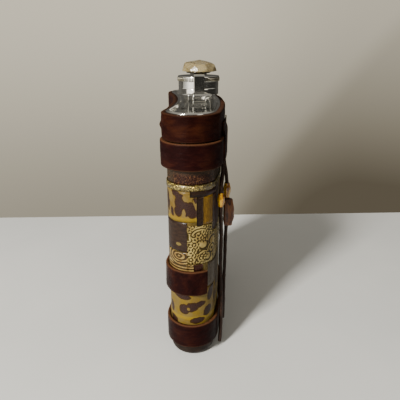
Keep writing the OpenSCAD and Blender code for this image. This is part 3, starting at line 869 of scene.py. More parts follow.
def ring_finish():
    t = Tree("ring_print", "ring_paper")
    flat = t.wrap_place()
    place = t.warp(flat, 0.25, 1.2)
    centre = t.vector("SUBTRACT", place, (-4.0, 54.8, 0))
    own = t.vector("LENGTH", t.vector("MULTIPLY", centre, (0.7, 1.25, 0)))
    far = t.math("MULTIPLY", t.cells(place, 0.085, random=0.8), 11.0)
    across, up = t.split(flat)
    ring = t.mix(t.step(own, 6.0, 7.0), own, far)
    lines = t.math("SINE", t.math("MULTIPLY_ADD", ring, 2 * math.pi / 1.55, 1.2))
    straight = t.math("SINE", t.math("MULTIPLY", up, 2 * math.pi / 1.4))
    near = t.math("MULTIPLY", t.step(up, 50.6, 50.0), t.step(across, 12, 10))
    line = t.step(t.mix(near, lines, straight), -0.1, 0.5)
    shade = t.noise(flat, 0.3, 4)
    pale = t.mix(t.step(shade, 0.4, 0.65), (0.23, 0.145, 0.06), (0.33, 0.25, 0.11))
    deep = t.mix(shade, (0.018, 0.011, 0.004), (0.06, 0.036, 0.01))
    return varnish(t, t.mix(line, deep, pale), line, 0.16)


maze_print = maze_finish()
ring_print = ring_finish()
print("labyrinth and rings ready")


# %% [markdown]
# ## Plain and mottled papers
# The other scraps are nearly plain: a dark paper with fine scrolls, a gold one, several browns
# and a grey. Each gets its own mottling at the size of real paper fibre.


# %% Other papers
def scroll_finish():
    t = Tree("script_print", "script_paper")
    flat = t.wrap_place()
    place = t.warp(flat, 0.45, 1.7)
    curls = labyrinth(t, place, 1.5, 5)
    thin = t.step(t.math("ABSOLUTE", curls), 0.62, 0.28)
    across, up = t.split(flat)
    side = t.math("ADD", t.step(across, -4, -9), t.step(across, 11, 17))
    broken = t.math("MULTIPLY", thin, speckle(t, flat, 0.9, 0.36, 0.52))
    paper = t.mix(t.noise(flat, 0.5, 5), (0.006, 0.0012, 0.001), (0.028, 0.006, 0.005))
    paper = t.mix(t.math("MULTIPLY", side, 0.85), paper, (0.024, 0.019, 0.014))
    # Painted sheen: the upper part, against the leather, is painted a dull lighter grey for its shine,
    # and the scrolls fade under it
    upper = t.math("MULTIPLY", t.step(up, 91.6, 93.6), 0.7)
    paper = t.mix(upper, paper, (0.042, 0.028, 0.02))
    ink = t.math("MULTIPLY", broken, t.math("SUBTRACT", 0.85, t.math("MULTIPLY", upper, 0.8)))
    return varnish(t, t.mix(ink, paper, (0.15, 0.068, 0.035)), broken)


def mottled_finish(name, slot, dark, light, size, fibre, mark=None, mark_colour=None):
    """A nearly plain paper. fibre above 0 draws it out sideways, and below 0 upwards. mark is
    one small patch of (along, height, half width, half height)."""
    t = Tree(name, slot)
    flat = t.wrap_place()
    drawn = (1, 1 + 5 * fibre, 1) if fibre >= 0 else (1 - 5 * fibre, 1, 1)
    cloud = t.noise(t.stretch(flat, drawn), 1 / size, 5, 0.62, bend=0.4)
    colour = t.mix(t.step(cloud, 0.32, 0.68), dark, light)
    grit = speckle(t, flat, 3.2, 0.56, 0.72)
    colour = t.mix(t.math("MULTIPLY", grit, 0.35), colour, tuple(min(1, c * 2.6) for c in light))
    if mark:
        on = t.step(patches(t, t.warp(flat, 0.8, 0.5), [(*mark, 0)]), 1.08, 0.92)
        colour = t.mix(on, colour, mark_colour)
    return varnish(t, colour, cloud)


script_print = scroll_finish()
mustard_print = mottled_finish("mustard_print", "mustard_paper", (0.12, 0.062, 0.006),
                               (0.24, 0.135, 0.014), 2.6, -0.5)
plum_print = mottled_finish("plum_print", "plum_paper", (0.012, 0.006, 0.008),
                            (0.05, 0.026, 0.034), 2.2, 0.15)
dusk_print = mottled_finish("dusk_print", "dusk_paper", (0.014, 0.007, 0.006),
                            (0.034, 0.018, 0.014), 3.0, 0.4, (-4.2, 60.6, 1.4, 0.75),
                            (0.16, 0.12, 0.045))
grey_print = mottled_finish("grey_print", "grey_paper", (0.04, 0.031, 0.028),
                            (0.1, 0.08, 0.074), 2.4, -0.3)
tee_print = mottled_finish("tee_print", "umber_paper", (0.008, 0.0035, 0.0025),
                           (0.026, 0.013, 0.009), 1.3, 0.1)
square_print = mottled_finish("square_print", "umber_paper", (0.012, 0.004, 0.003),
                              (0.04, 0.012, 0.01), 0.9, 0.0)
base_print = mottled_finish("base_print", "umber_paper", (0.005, 0.0025, 0.002),
                            (0.022, 0.011, 0.008), 3.4, 0.5)
ground_print = mottled_finish("ground_print", "olive_paper", (0.055, 0.038, 0.008),
                              (0.15, 0.108, 0.03), 3.2, -0.2)
print("papers ready")

# %% Paper sheets
middle_low, middle_high = height_of("middle_band")


def row(share):
    """Height at a share of the collage between the middle band and the top band."""
    return middle_high + share * (top_low - middle_high)


def paper_section(i, low, high, inner, outer, seed, ragged):
    """A thin sheet with an uneven cut. Its outside carries a few rows for soft wrinkles."""
    u = along(i)
    down = low + ragged * (soft(u, low, seed, 0.35) + 0.5 * soft(u, low, seed, 1.1))
    top = high + ragged * (soft(u, high, seed + 2, 0.35) + 0.5 * soft(u, high, seed, 1.1))
    down, top = max(down, low), min(top, high)
    edge = inner + 0.35 * (outer - inner)
    ring = [(down, edge, 1.0)]
    rows = max(2, round((high - low) / 1.1))
    for k in range(rows + 1):
        h = down + (top - down) * k / rows
        swell = 0.035 * soft(u, h, seed, 0.28) - 0.02
        ring.append((h, outer + swell, 0.0))
    return ring + [(top, edge, 1.0), (top, inner, 0.0), (down, inner, 0.0)]


def join(pieces):
    """Makes one piece of several, under the first one's name."""
    keep = pieces[0]
    with bpy.context.temp_override(active_object=keep, selected_editable_objects=pieces):
        bpy.ops.object.join()
    return keep


def paper(name, node, finish, course, areas, ragged=0.22):
    """One node's scraps, each (first place, last place, low, high), on a course of paste."""
    inner, outer = (course - 1) * PAPER + 0.005, course * PAPER
    scraps = []
    for k, (first, last, low, high) in enumerate(areas):
        closed = first is None
        places = all_round(0.8) if closed else place_list(first, last, 0.8)

        seed = course * 31 + 7 * k + len(node)

        def section(i, low=low, high=high, seed=seed):
            return paper_section(i, low, high, inner, outer, seed, ragged)
        scraps.append(wrapped(name if k == 0 else f"{name}_{k}", section, places, finish, closed))
    return settle(join(scraps) if len(scraps) > 1 else scraps[0], "flask", node)


lower_low, lower_high = height_of("giraffe_paper_lower")
script_low, script_high = height_of("script_paper")
front, far, back = END // 2, END // 2 + FACE, END // 2 + FACE + END
paper("giraffe_sheet_lower", "giraffe_paper_lower", lower_giraffe, 1,
      [(None, None, lower_low, lower_high)])
paper("ground_sheet", "ground_paper", ground_print, 1, [(None, None, lower_high, script_low)])
paper("script_sheet", "script_paper", script_print, 1, [(None, None, script_low, script_high)])
paper("giraffe_sheet_upper", "giraffe_paper_upper", upper_giraffe, 2,
      [(-back / 2, 3, row(0.506), row(0.8)), (front + 8, far, row(0.1), row(0.47))])
paper("mustard_sheet", "mustard_paper", mustard_print, 2,
      [(3, 9, row(0.474), row(0.752)), (far + 2, far + 13, row(0.52), row(0.84))])
paper("plum_sheet", "plum_paper", plum_print, 2,
      [(9, front + 2, row(0.39), row(0.752)), (6, front + 2, row(0.752), row(0.8)),
       (back + 1, back + 6, row(0.02), row(0.3))])
paper("dusk_sheet", "dusk_paper", dusk_print, 2,
      [(-16, 0, row(0.197), row(0.5)), (far - 5, far + 1, row(0.52), row(0.82))])
paper("maze_sheet", "maze_paper", maze_print, 2,
      [(0, 9, row(0.07), row(0.47)), (9, front + 7, row(0.07), row(0.38)),
       (far + 1, back - 1, row(0.1), row(0.5))])
paper("ring_sheet", "ring_paper", ring_print, 2,
      [(-16, 0, middle_high - 4, row(0.19)), (0, 2, middle_high - 4, row(0.065)),
       (front + 4, far - 6, row(0.5), row(0.84))])
paper("square_sheet", "square_paper", square_print, 2, [(2, 5, row(-0.01), row(0.065))])
paper("grey_sheet", "grey_paper", grey_print, 2,
      [(7, front + 2, middle_low + 3, row(0.06)), (back + 7, back + 12, row(0.1), row(0.48))])
paper("tee_sheet", "tee_paper", tee_print, 3,
      [(1, 6, row(0.752), row(0.809)), (3, 5, row(0.474), row(0.752))], 0.12)

# %% [markdown]
# ## The glitter strip
# A narrow strip of craft glitter paper runs round above the giraffe print. Real glitter is
# thousands of tiny flat flakes at all angles, so Geometry Nodes scatter small six-sided flakes
# over the strip, tilt them at random with a fixed seed and make them real.


# %% Geometry node helpers
class Growth:
    """Builds a geometry node tree with named inputs, and turns its result into a mesh."""

    def __init__(self, name, **sizes):
        self.tree = bpy.data.node_groups.new(name, "GeometryNodeTree")
        face = self.tree.interface
        face.new_socket("Geometry", in_out="INPUT", socket_type="NodeSocketGeometry")
        face.new_socket("Geometry", in_out="OUTPUT", socket_type="NodeSocketGeometry")
        self.sizes = sizes
        for key, value in sizes.items():
            kind = "NodeSocketInt" if isinstance(value, int) else "NodeSocketFloat"
            face.new_socket(key, in_out="INPUT", socket_type=kind)
        self.inputs = self.tree.nodes.new("NodeGroupInput").outputs
        self.output = self.tree.nodes.new("NodeGroupOutput").inputs[0]

    def node(self, kind, inputs=(), prefix="GeometryNode", **settings):
        return add_node(self.tree, prefix + kind, inputs, **settings)

    def close(self, geometry, material):
        """Ends the tree in Realize Instances and Set Material."""
        real = self.node("RealizeInstances", {"Geometry": geometry})
        coat = self.node("SetMaterial", {"Geometry": real.outputs[0],
                                         "Material": material.material})
        self.tree.links.new(coat.outputs[0], self.output)

    def grow(self, name, base, material, smooth=False):
        """Runs the tree on a base object and returns the result as a plain piece."""
        host = bpy.data.objects.new(name + "_host", base.data.copy() if base else
                                    bpy.data.meshes.new(name + "_empty"))
        bpy.context.scene.collection.objects.link(host)
        modifier = host.modifiers.new("grow", "NODES")
        modifier.node_group = self.tree
        for item in self.tree.interface.items_tree:
            if item.in_out == "INPUT" and item.name in self.sizes:
                modifier[item.identifier] = self.sizes[item.name]
        bpy.context.view_layer.update()
        graph = bpy.context.evaluated_depsgraph_get()
        mesh = bpy.data.meshes.new_from_object(host.evaluated_get(graph))
        mesh.name = name
        host.modifiers.clear()
        bpy.data.objects.remove(host)
        return as_piece(name, mesh, material, smooth)


print("growth helper ready")


# %% Glitter finishes
def glitter_bed_finish():
    t = Tree("glitter_bed", "glitter_paper")
    flat = t.wrap_place()
    grain = t.cells(flat, 2.6, out="Color")
    spark = t.node("RGBToBW", {0: grain}).outputs[0]
    bronze = t.step(t.math("ADD", t.split(flat)[0], t.math("MULTIPLY", spark, 2)), 8.5, 10.5)
    gold = t.ramp(spark, (0.2, (0.03, 0.018, 0.003)), (0.6, (0.12, 0.082, 0.014)),
                  (0.85, (0.42, 0.33, 0.1)))
    t.bump(spark, 0.25, 0.9)
    return t.finish(Base_Color=t.mix(bronze, gold, (0.07, 0.055, 0.03)), Metallic=0.3, Roughness=0.34,
                    Coat_Weight=0.5, Coat_Roughness=0.15)


def flake_finish():
    t = Tree("glitter_flake", "glitter_paper")
    tone = t.noise(t.object_place(), 0.9, 3)
    return t.finish(Base_Color=t.ramp(tone, (0.35, (0.16, 0.1, 0.015)), (0.55, (0.4, 0.3, 0.07)),
                                      (0.7, (0.8, 0.68, 0.3))),
                    Metallic=0.9, Roughness=0.22)


glitter_bed = glitter_bed_finish()
glitter_flake = flake_finish()
strip = paper("glitter_sheet", "glitter_strip", glitter_bed, 3,
              [(None, None, row(0.809), row(0.863))], 0.1)


# %% Glitter flakes
def scatter_flakes(base):
    g = Growth("glitter_flakes", Density=5.5e6, Flake=0.17 * MM, Seed=4)
    spots = g.node("DistributePointsOnFaces", {
        "Mesh": g.inputs["Geometry"], "Density": g.inputs["Density"], "Seed": g.inputs["Seed"],
    })
    flake = g.node("MeshCircle", {"Vertices": 6, "Radius": g.inputs["Flake"]}, fill_type="NGON")
    lean_by = g.node("RandomValue", {"Seed": g.inputs["Seed"]}, prefix="FunctionNode",
                     data_type="FLOAT_VECTOR")
    lean_by.inputs[0].default_value = (-0.55, -0.55, 0)
    lean_by.inputs[1].default_value = (0.55, 0.55, 6.28)
    turned = g.node("RotateRotation", {
        "Rotation": spots.outputs["Rotation"], "Rotate By": lean_by.outputs[0],
    }, prefix="FunctionNode", rotation_space="LOCAL")
    placed = g.node("InstanceOnPoints", {
        "Points": spots.outputs["Points"], "Instance": flake.outputs["Mesh"],
        "Rotation": turned.outputs[0],
    })
    g.close(placed.outputs[0], glitter_flake)
    return g.grow("glitter_flakes", base, glitter_flake)


flakes = scatter_flakes(strip)
settle(flakes, "flask")

# %% [markdown]
# ## The base paper
# The lowest paper turns under the foot. It is wrapped with a section that follows the steel's
# rounded bottom edge and stops just above the table.

# %% Base paper
edge_round = 3.2
base_top = height_of("bottom_band")[0]
base_start = height_of("base_paper")[0]


def round_edge(grow, start, steps=10):
    """(height, growth) up the rounded bottom edge, from the height start."""
    first = math.acos(1 - start / edge_round)
    ring = []
    for k in range(steps + 1):
        q = first + (math.pi / 2 - first) * k / steps
        ring.append((edge_round * (1 - math.cos(q)), grow - edge_round * (1 - math.sin(q))))
    return ring


def base_section(i):
    u = along(i)
    outside = round_edge(PAPER, base_start)
    inside = round_edge(0.005, base_start)
    ring = [(h, g + 0.03 * soft(u, h, 91, 0.3) - 0.02, 0.0) for h, g in outside]
    ring += [(h, PAPER + 0.04 * soft(u, h, 91, 0.3) - 0.02, 0.0) for h in (4.2, 5.4)]
    ring += [(base_top, PAPER, 0.0), (base_top, 0.005, 0.0)]
    return ring + [(h, g, 0.0) for h, g in reversed(inside)]


base_sheet = wrapped("base_sheet", base_section, all_round(0.8), base_print, True)
settle(base_sheet, "flask", "base_paper")

# %% [markdown]
# ## Steel
# The steel is stainless: mirror bright on the rim, the top plate, the cap and the hinge, brushed on the
# base plate, the liner and the washer. Fine scratches are noise drawn out in one direction, and
# fingerprints are broad clouds in the roughness. The knurl is painted dark and cloudy: partly tarnish,
# partly painted shade of its grooves.


# %% Steel finishes
def steel_finish(name, slot, colour, rough, scratch, draw=(1, 1, 14), tarnish_and_shade=0.25):
    t = Tree(name, slot)
    place = t.object_place()
    lines = t.noise(t.stretch(place, draw), 1.1, 6, 0.7)
    smudge = t.noise(place, 0.22, 4, bend=0.7)
    specks = t.step(t.cells(t.warp(place, 0.6, 1.0), 0.8), 0.11, 0.05)
    dull = tuple(c * 0.62 for c in colour)
    # Dull clouds: tarnish, and on the knurl also painted shade
    shade = t.mix(t.math("MULTIPLY", t.step(smudge, 0.45, 0.75), tarnish_and_shade), colour, dull)
    t.bump(lines, 0.02, scratch)
    return t.finish(
        Base_Color=t.mix(t.math("MULTIPLY", specks, 0.3), shade, (0.2, 0.17, 0.14)),
        Metallic=1.0,
        Roughness=t.math("ADD", t.math("MULTIPLY_ADD", smudge, 0.16, rough - 0.05),
                         t.math("MULTIPLY", lines, 0.06)),
    )


mirror_steel = steel_finish("mirror_steel", "polished_steel", (0.72, 0.71, 0.67), 0.05, 0.1)
brushed_steel = steel_finish("brushed_steel", "steel", (0.56, 0.55, 0.52), 0.2, 0.4, (9, 1, 1))
# The knurl's dark colour and heavy clouds are partly tarnish and partly painted shade of its grooves
knurl_steel = steel_finish("knurl_steel", "polished_steel", (0.23, 0.21, 0.16), 0.3, 0.5,
                           (3, 3, 3), 0.7)
print("steel ready")


# %% Rings and lathed pieces
def apply_modifiers(piece):
    graph = bpy.context.evaluated_depsgraph_get()
    bpy.context.view_layer.update()
    mesh = bpy.data.meshes.new_from_object(piece.evaluated_get(graph))
    piece.modifiers.clear()
    piece.data = mesh


def even_shading(piece):
    """Lets the large faces decide the shading, so flat steel mirrors flat."""
    weigh = piece.modifiers.new("weigh", "WEIGHTED_NORMAL")
    weigh.weight = 100
    weigh.keep_sharp = False
    apply_modifiers(piece)
    return piece


def lathe(name, profile, material, count, reach=None):
    """Turns a closed ring of (radius, height) points in mm round the cap's axis. reach(q, r, z)
    may vary the radius."""
    points = []
    for k in range(count):
        q = 2 * math.pi * k / count
        for r, z in profile:
            full = reach(q, r, z) if reach else r
            points.append(Vector((full * math.cos(q), full * math.sin(q), z)) * MM)
    size = len(profile)
    faces = []
    for k in range(count):
        a, b = k * size, (k + 1) % count * size
        for s in range(size):
            n = (s + 1) % size
            faces.append((a + s, b + s, b + n, a + n))
    return new_piece(name, points, faces, material)


def arc(centre_r, centre_z, radius, start, end, steps):
    """Points on an arc in the (radius, height) plane, by degrees."""
    ring = []
    for k in range(steps + 1):
        q = math.radians(start + (end - start) * k / steps)
        ring.append((centre_r + radius * math.cos(q), centre_z + radius * math.sin(q)))
    return ring


print("lathe ready")

# %% [markdown]
# ## The steel wall
# Only the rolled rim of the wall shows, inside the collar. It is a bright, full bead, so the
# wrapped section carries a real half circle there, and the foot follows the rounded edge.

# %% Steel wall
wall_high = height_of("body_wall")[1]
plate_high = height_of("top_plate")[1]
wall_thick, base_thick, foot = 0.7, 1.0, 1.0
rim_half = 0.9


def wall_section(i):
    ring = [(0.0, -edge_round - foot)]
    ring += round_edge(0.0, 0.0, 8)
    ring += [(20.0, 0.0), (60.0, 0.0), (100.0, 0.0)]
    for k in range(11):
        q = math.pi * k / 10
        ring.append((wall_high - rim_half + rim_half * math.sin(q),
                     -rim_half + rim_half * math.cos(q)))
    ring += [(plate_high + 0.3, -1.98), (plate_high + 0.02, -2.1), (plate_high + 0.02, -wall_thick)]
    ring += [(60.0, -wall_thick), (base_thick + edge_round, -wall_thick),
             (base_thick + edge_round / 2, -edge_round / 2 - wall_thick / 2),
             (base_thick, -edge_round), (base_thick, -edge_round - foot)]
    return [(h, g, 0.0) for h, g in ring]


steel_wall = wrapped("steel_wall", wall_section, all_round(), mirror_steel, True)
settle(steel_wall, "flask", "body_wall")

# %% [markdown]
# ## The cap
# The cap is one bright pressing: a plain skirt with a rolled line, a knurled rim above it and a
# softly rounded top edge. The shell is turned on a lathe. Geometry Nodes set the knurl's ribs
# round the rim, as the knurling tool's teeth would.

# %% Cap sizes
cap_low, cap_high = height_of("cap_shell")
knurl_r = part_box("cap_shell")[1].x / MM
skirt_r = knurl_r - 0.5
shell_r = skirt_r - 0.65
knurl_high = 2.3
knurl_low = cap_high - knurl_high
cap_under = cap_high - 0.95
rivet_hole = 1.55
print("cap radius", round(knurl_r, 2), "mm")

# %% Cap shell
bead_z = cap_low + 0.46 * (knurl_low - cap_low)
cap_profile = (
    [(rivet_hole, cap_under), (rivet_hole, cap_high)]
    + arc(knurl_r - 0.55, cap_high - 0.35, 0.35, 90, 0, 5)
    + [(knurl_r - 0.2, cap_high - 0.42), (knurl_r - 0.28, knurl_low + 0.3)]
    + [(knurl_r - 0.28, knurl_low + 0.08), (skirt_r + 0.12, knurl_low)]
    + [(skirt_r, knurl_low - 0.16), (skirt_r, bead_z + 0.32), (skirt_r - 0.1, bead_z + 0.2)]
    + [(skirt_r - 0.1, bead_z - 0.05), (skirt_r, bead_z - 0.2), (skirt_r, cap_low + 0.3)]
    + arc(skirt_r - 0.22, cap_low + 0.22, 0.22, 0, -90, 4)
    + [(shell_r, cap_low), (shell_r, cap_under)]
)
cap_profile = [p for k, p in enumerate(cap_profile) if k == 0 or p != cap_profile[k - 1]]
cap = lathe("cap_pressing", cap_profile[::-1], mirror_steel, 192)
settle(even_shading(cap), "cap", "cap_shell")


# %% Knurl
def knurl_ribs():
    rib, height, below_top = 0.22, 1.62, 0.5
    g = Growth("knurl_ribs", Count=80, Radius=(knurl_r - rib) * MM, Height=height * MM,
               Middle=(cap_high - below_top - height / 2 - rib) * MM, Rib=rib * MM)
    circle = g.node("MeshCircle", {"Vertices": g.inputs["Count"], "Radius": g.inputs["Radius"]})
    lift = g.node("CombineXYZ", {"Z": g.inputs["Middle"]}, prefix="ShaderNode")
    ring = g.node("SetPosition", {"Geometry": circle.outputs[0], "Offset": lift.outputs[0]})
    tooth = g.node("MeshCylinder", {
        "Vertices": 10, "Side Segments": 3, "Radius": g.inputs["Rib"], "Depth": g.inputs["Height"],
    })
    placed = g.node("InstanceOnPoints", {"Points": ring.outputs[0],
                                         "Instance": tooth.outputs["Mesh"]})
    g.close(placed.outputs[0], knurl_steel)
    return g.grow("knurl_ribs", None, knurl_steel, smooth=True)


settle(knurl_ribs(), "cap")

# %% [markdown]
# ## The captive arm
# A bent strip of steel joins the cap to its hinge. A long eye at its foot lets it rise with the
# cap, and it folds over the cap's edge under the stone. The strip is a rounded section swept
# along its bend, and the eyes are plates with round holes.

# %% Arm sizes
pin_low, pin_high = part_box("hinge_pin")
pin_x = (pin_low.x + pin_high.x) / 2 / MM
pin_z = (pin_low.z + pin_high.z) / 2 / MM
arm_top = height_of("captive_arm")[1]
arm_thick, arm_wide, knuckle_wide = 0.9, 5.0, 5.6
pin_hole, eye_out, arm_lift = 0.8, 1.35, 1.6
top_eye_out, rivet_eye = 4.1, 1.5
ROUND_POINTS = 48
print("pin at", round(pin_x, 2), round(pin_z, 2))


# %% Plates with a hole
def ring_plate(name, outer, inner, low, high, place, bevel=0.12):
    """A flat steel plate between matching outer and inner outlines, from low to high mm. place
    turns (a, b, height) into a point."""
    count = len(outer)
    points = []
    for h in (low, high):
        points += [place(a, b, h) for a, b in outer]
        points += [place(a, b, h) for a, b in inner]
    faces = []
    top = 2 * count
    for k in range(count):
        n = (k + 1) % count
        faces.append((k, k + count, n + count, n))
        faces.append((top + k, top + n, top + n + count, top + k + count))
        faces.append((k, n, top + n, top + k))
        faces.append((count + k, top + count + k, top + count + n, count + n))
    plate = new_piece(name, [Vector(p) * MM for p in points], faces, mirror_steel)
    tidy_normals(plate)
    soften(plate, bevel)
    return plate


def tidy_normals(piece):
    """Welds doubled points and turns every face outwards."""
    shape = bmesh.new()
    shape.from_mesh(piece.data)
    bmesh.ops.remove_doubles(shape, verts=shape.verts, dist=1e-7)
    bmesh.ops.recalc_face_normals(shape, faces=shape.faces)
    shape.to_mesh(piece.data)
    shape.free()


def soften(piece, width):
    """Rounds the sharp edges by width mm, as tumbling does."""
    bevel = piece.modifiers.new("soften", "BEVEL")
    bevel.width = width * MM
    bevel.segments = 3
    bevel.limit_method = "ANGLE"
    bevel.angle_limit = math.radians(35)
    bevel.harden_normals = False
    apply_modifiers(piece)
    for face in piece.data.polygons:
        face.use_smooth = True


def stadium(radius, length=0.0, start=0.5):
    """An upright long hole or eye: half circles at 0 and at -length. With no length it is
    round."""
    ring = []
    for k in range(ROUND_POINTS):
        q = 2 * math.pi * (k + start) / ROUND_POINTS
        drop = -length if math.sin(q) < 0 else 0.0
        ring.append((radius * math.cos(q), radius * math.sin(q) + drop))
    return ring


def round_pin(a, b, h):
    """A plate's point, for plates that stand round the pin."""
    return pin_x + a, h, pin_z + b


print("plate helpers ready")

# %% Arm
knuckle = ring_plate("arm_knuckle", stadium(eye_out, arm_lift), stadium(pin_hole, arm_lift),
                     -knuckle_wide / 2, knuckle_wide / 2, round_pin)
bend_r = 1.3
middle_r = bend_r - arm_thick / 2
strip_low, strip_high = pin_z + 0.9, arm_top - bend_r - 0.4
strip_path = [Vector((pin_x, 0, strip_low + k * (strip_high - strip_low) / 6)) * MM
              for k in range(7)]
for k in range(1, 9):
    q = math.pi / 2 * k / 8
    strip_path.append(Vector((pin_x + middle_r * (1 - math.cos(q)), 0,
                              arm_top - bend_r + middle_r * math.sin(q))) * MM)
strip_path += [Vector((x, 0, arm_top - arm_thick / 2)) * MM for x in (-8.0, -5.5, -3.4)]


def strip_section(half_thick, half_wide):
    """A flat section with rounded corners."""
    corner, steps = 0.22, 3
    ring = []
    for cx, cy, start in ((1, 1, 0), (-1, 1, 90), (-1, -1, 180), (1, -1, 270)):
        for k in range(steps + 1):
            q = math.radians(start + 90 * k / steps)
            ring.append(((cx * (half_thick - corner) + corner * math.cos(q)) * MM,
                         (cy * (half_wide - corner) + corner * math.sin(q)) * MM))
    return ring


strip_piece = new_piece("arm_strip", *sweep(strip_path, strip_section(arm_thick / 2, arm_wide / 2)),
                        mirror_steel)
tidy_normals(strip_piece)
top_eye = ring_plate("arm_top_eye", stadium(top_eye_out, start=0), stadium(rivet_eye, start=0),
                     arm_top - arm_thick, arm_top, lambda a, b, h: (a, b, h))
settle(even_shading(join([strip_piece, knuckle, top_eye])), "arm", "captive_arm")


# %% [markdown]
# ## The hinge bracket
# The bracket is a folded foot with two ears that hold the pin. Each ear is a plate with a round
# head and a hole, and the foot is a low strip behind them.

# %% Bracket
bracket_low, bracket_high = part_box("hinge_bracket")
ear_out_y = bracket_high.y / MM
ear_thick = 2.2
ear_in_y = ear_out_y - ear_thick
plate_z = bracket_low.z / MM
bridge_low = bracket_low.x / MM
fold_thick = 0.8


def ear_outline():
    """A square foot under a round head, sampled by angle round the pin's hole."""
    ring = []
    for k in range(ROUND_POINTS):
        q = 2 * math.pi * (k + 0.5) / ROUND_POINTS
        c, s = math.cos(q), math.sin(q)
        if s >= 0:
            reach = eye_out + 0.08
        else:
            reach = min(eye_out / max(abs(c), 1e-6), (pin_z - plate_z) / -s)
        ring.append((reach * c, reach * s))
    return ring


def slab(name, low, high):
    """A steel block between two corners, in mm, with softened edges."""
    points = [(x, y, z) for z in (low[2], high[2]) for y in (low[1], high[1])
              for x in (low[0], high[0])]
    faces = [(0, 2, 3, 1), (4, 5, 7, 6), (0, 1, 5, 4), (2, 6, 7, 3), (0, 4, 6, 2), (1, 3, 7, 5)]
    piece = new_piece(name, [Vector(p) * MM for p in points], faces, mirror_steel)
    soften(piece, 0.18)
    return piece


bracket_parts = []
for side in (-1, 1):
    low_y, high_y = sorted((side * ear_in_y, side * ear_out_y))
    bracket_parts.append(ring_plate(f"ear_{side}", ear_outline(), stadium(pin_hole), low_y, high_y,
                                    round_pin, 0.16))
    bracket_parts.append(slab(f"foot_{side}", (bridge_low, low_y, plate_z),
                              (pin_x - 0.6, high_y, plate_z + fold_thick)))
bracket_parts.append(slab("bridge", (bridge_low, -ear_in_y - 0.3, plate_z),
                          (bridge_low + 1.8, ear_in_y + 0.3, plate_z + fold_thick)))
bracket = even_shading(join(bracket_parts))
bracket.name = "bracket_plate"
settle(bracket, "flask", "hinge_bracket")

# %% [markdown]
# ## The neck and its thread
# The neck shows only when the cap is swung away. It is turned on the lathe with a soft lip, and
# Geometry Nodes sweep a small ridge up a helix for the thread, which is what a real one is.

# %% Neck
neck_low, neck_high = height_of("neck_spout")
neck_r, neck_bore = 7.4, 6.2
neck_profile = (
    [(neck_bore, neck_low), (neck_r - 0.4, neck_low), (neck_r - 0.4, plate_high)]
    + [(neck_r + 0.25, plate_high + 0.001), (neck_r + 0.25, plate_high + 0.45)]
    + arc(neck_r + 0.1, plate_high + 0.45, 0.15, 0, 90, 3)
    + [(neck_r, plate_high + 0.8), (neck_r, neck_high - 0.35)]
    + arc(neck_r - 0.3, neck_high - 0.3, 0.3, 0, 90, 4)
    + arc(neck_bore + 0.2, neck_high - 0.2, 0.2, 90, 180, 3)
)
neck = lathe("neck_tube", neck_profile[::-1], mirror_steel, 128)
tidy_normals(neck)
settle(even_shading(neck), "flask", "neck_spout")


def thread_ridge():
    g = Growth("neck_thread", Turns=2.4, Pitch=arm_lift * MM, Radius=(neck_r - 0.02) * MM,
               Start=(plate_high + 2.4) * MM, Ridge=0.3 * MM)
    rise = g.node("Math", {0: g.inputs["Turns"], 1: g.inputs["Pitch"]}, prefix="ShaderNode",
                  operation="MULTIPLY")
    helix = g.node("CurveSpiral", {
        "Resolution": 96, "Rotations": g.inputs["Turns"], "Start Radius": g.inputs["Radius"],
        "End Radius": g.inputs["Radius"], "Height": rise.outputs[0],
    })
    lift = g.node("CombineXYZ", {"Z": g.inputs["Start"]}, prefix="ShaderNode")
    placed = g.node("SetPosition", {"Geometry": helix.outputs[0], "Offset": lift.outputs[0]})
    section = g.node("CurvePrimitiveCircle", {"Resolution": 12, "Radius": g.inputs["Ridge"]},
                     mode="RADIUS")
    swept = g.node("CurveToMesh", {
        "Curve": placed.outputs[0], "Profile Curve": section.outputs[0], "Fill Caps": True,
    })
    g.close(swept.outputs[0], mirror_steel)
    return g.grow("neck_thread", None, mirror_steel, smooth=True)


settle(thread_ridge(), "flask")

# %% [markdown]
# ## The stone and its glue
# The stone is a broken lump of waxy quartz. A broken stone is flat breaks that meet in edges, so it is
# made from planes: in each direction the surface is as far out as the nearest plane allows. Fine noise
# then chips the edges. It sits in a squeezed ring of glue, whose dark colour is partly the glue's own
# and partly painted shade of the gap under the stone.


# %% Stone and glue finishes
def quartz_finish():
    t = Tree("pale_quartz", "pale_stone")
    place = t.object_place()
    cloud = t.noise(t.stretch(place, (1, 1, 1.6)), 0.16, 5, bend=0.8)
    vein = t.step(t.noise(place, 0.3, 4, bend=2.0), 0.52, 0.66)
    colour = t.ramp(cloud, (0.3, (0.12, 0.09, 0.04)), (0.5, (0.2, 0.155, 0.075)),
                    (0.68, (0.3, 0.245, 0.13)))
    colour = t.mix(t.math("MULTIPLY", vein, 0.4), colour, (0.15, 0.13, 0.08))
    chips = t.noise(place, 0.9, 7, 0.68)
    t.bump(chips, 0.3, 0.5)
    return t.finish(Base_Color=colour, Roughness=t.math("MULTIPLY_ADD", chips, 0.35, 0.1), IOR=1.54,
                    Subsurface_Weight=0.4, Subsurface_Radius=(1.0, 0.8, 0.5), Subsurface_Scale=0.0022,
                    Coat_Weight=0.3, Coat_Roughness=0.12)


def glue_finish():
    # The glue's dark colour is partly its own and partly painted shade of the gap under the stone
    t = Tree("glue_and_shade", "dried_glue")
    cloud = t.noise(t.object_place(), 0.8, 5)
    t.bump(cloud, 0.3, 0.7)
    return t.finish(Base_Color=t.ramp(cloud, (0.3, (0.016, 0.012, 0.006)), (0.7, (0.075, 0.058, 0.028))),
                    Roughness=0.24, Coat_Weight=0.4, Coat_Roughness=0.1)


quartz = quartz_finish()
glue_and_shade = glue_finish()
print("stone and glue finishes ready")

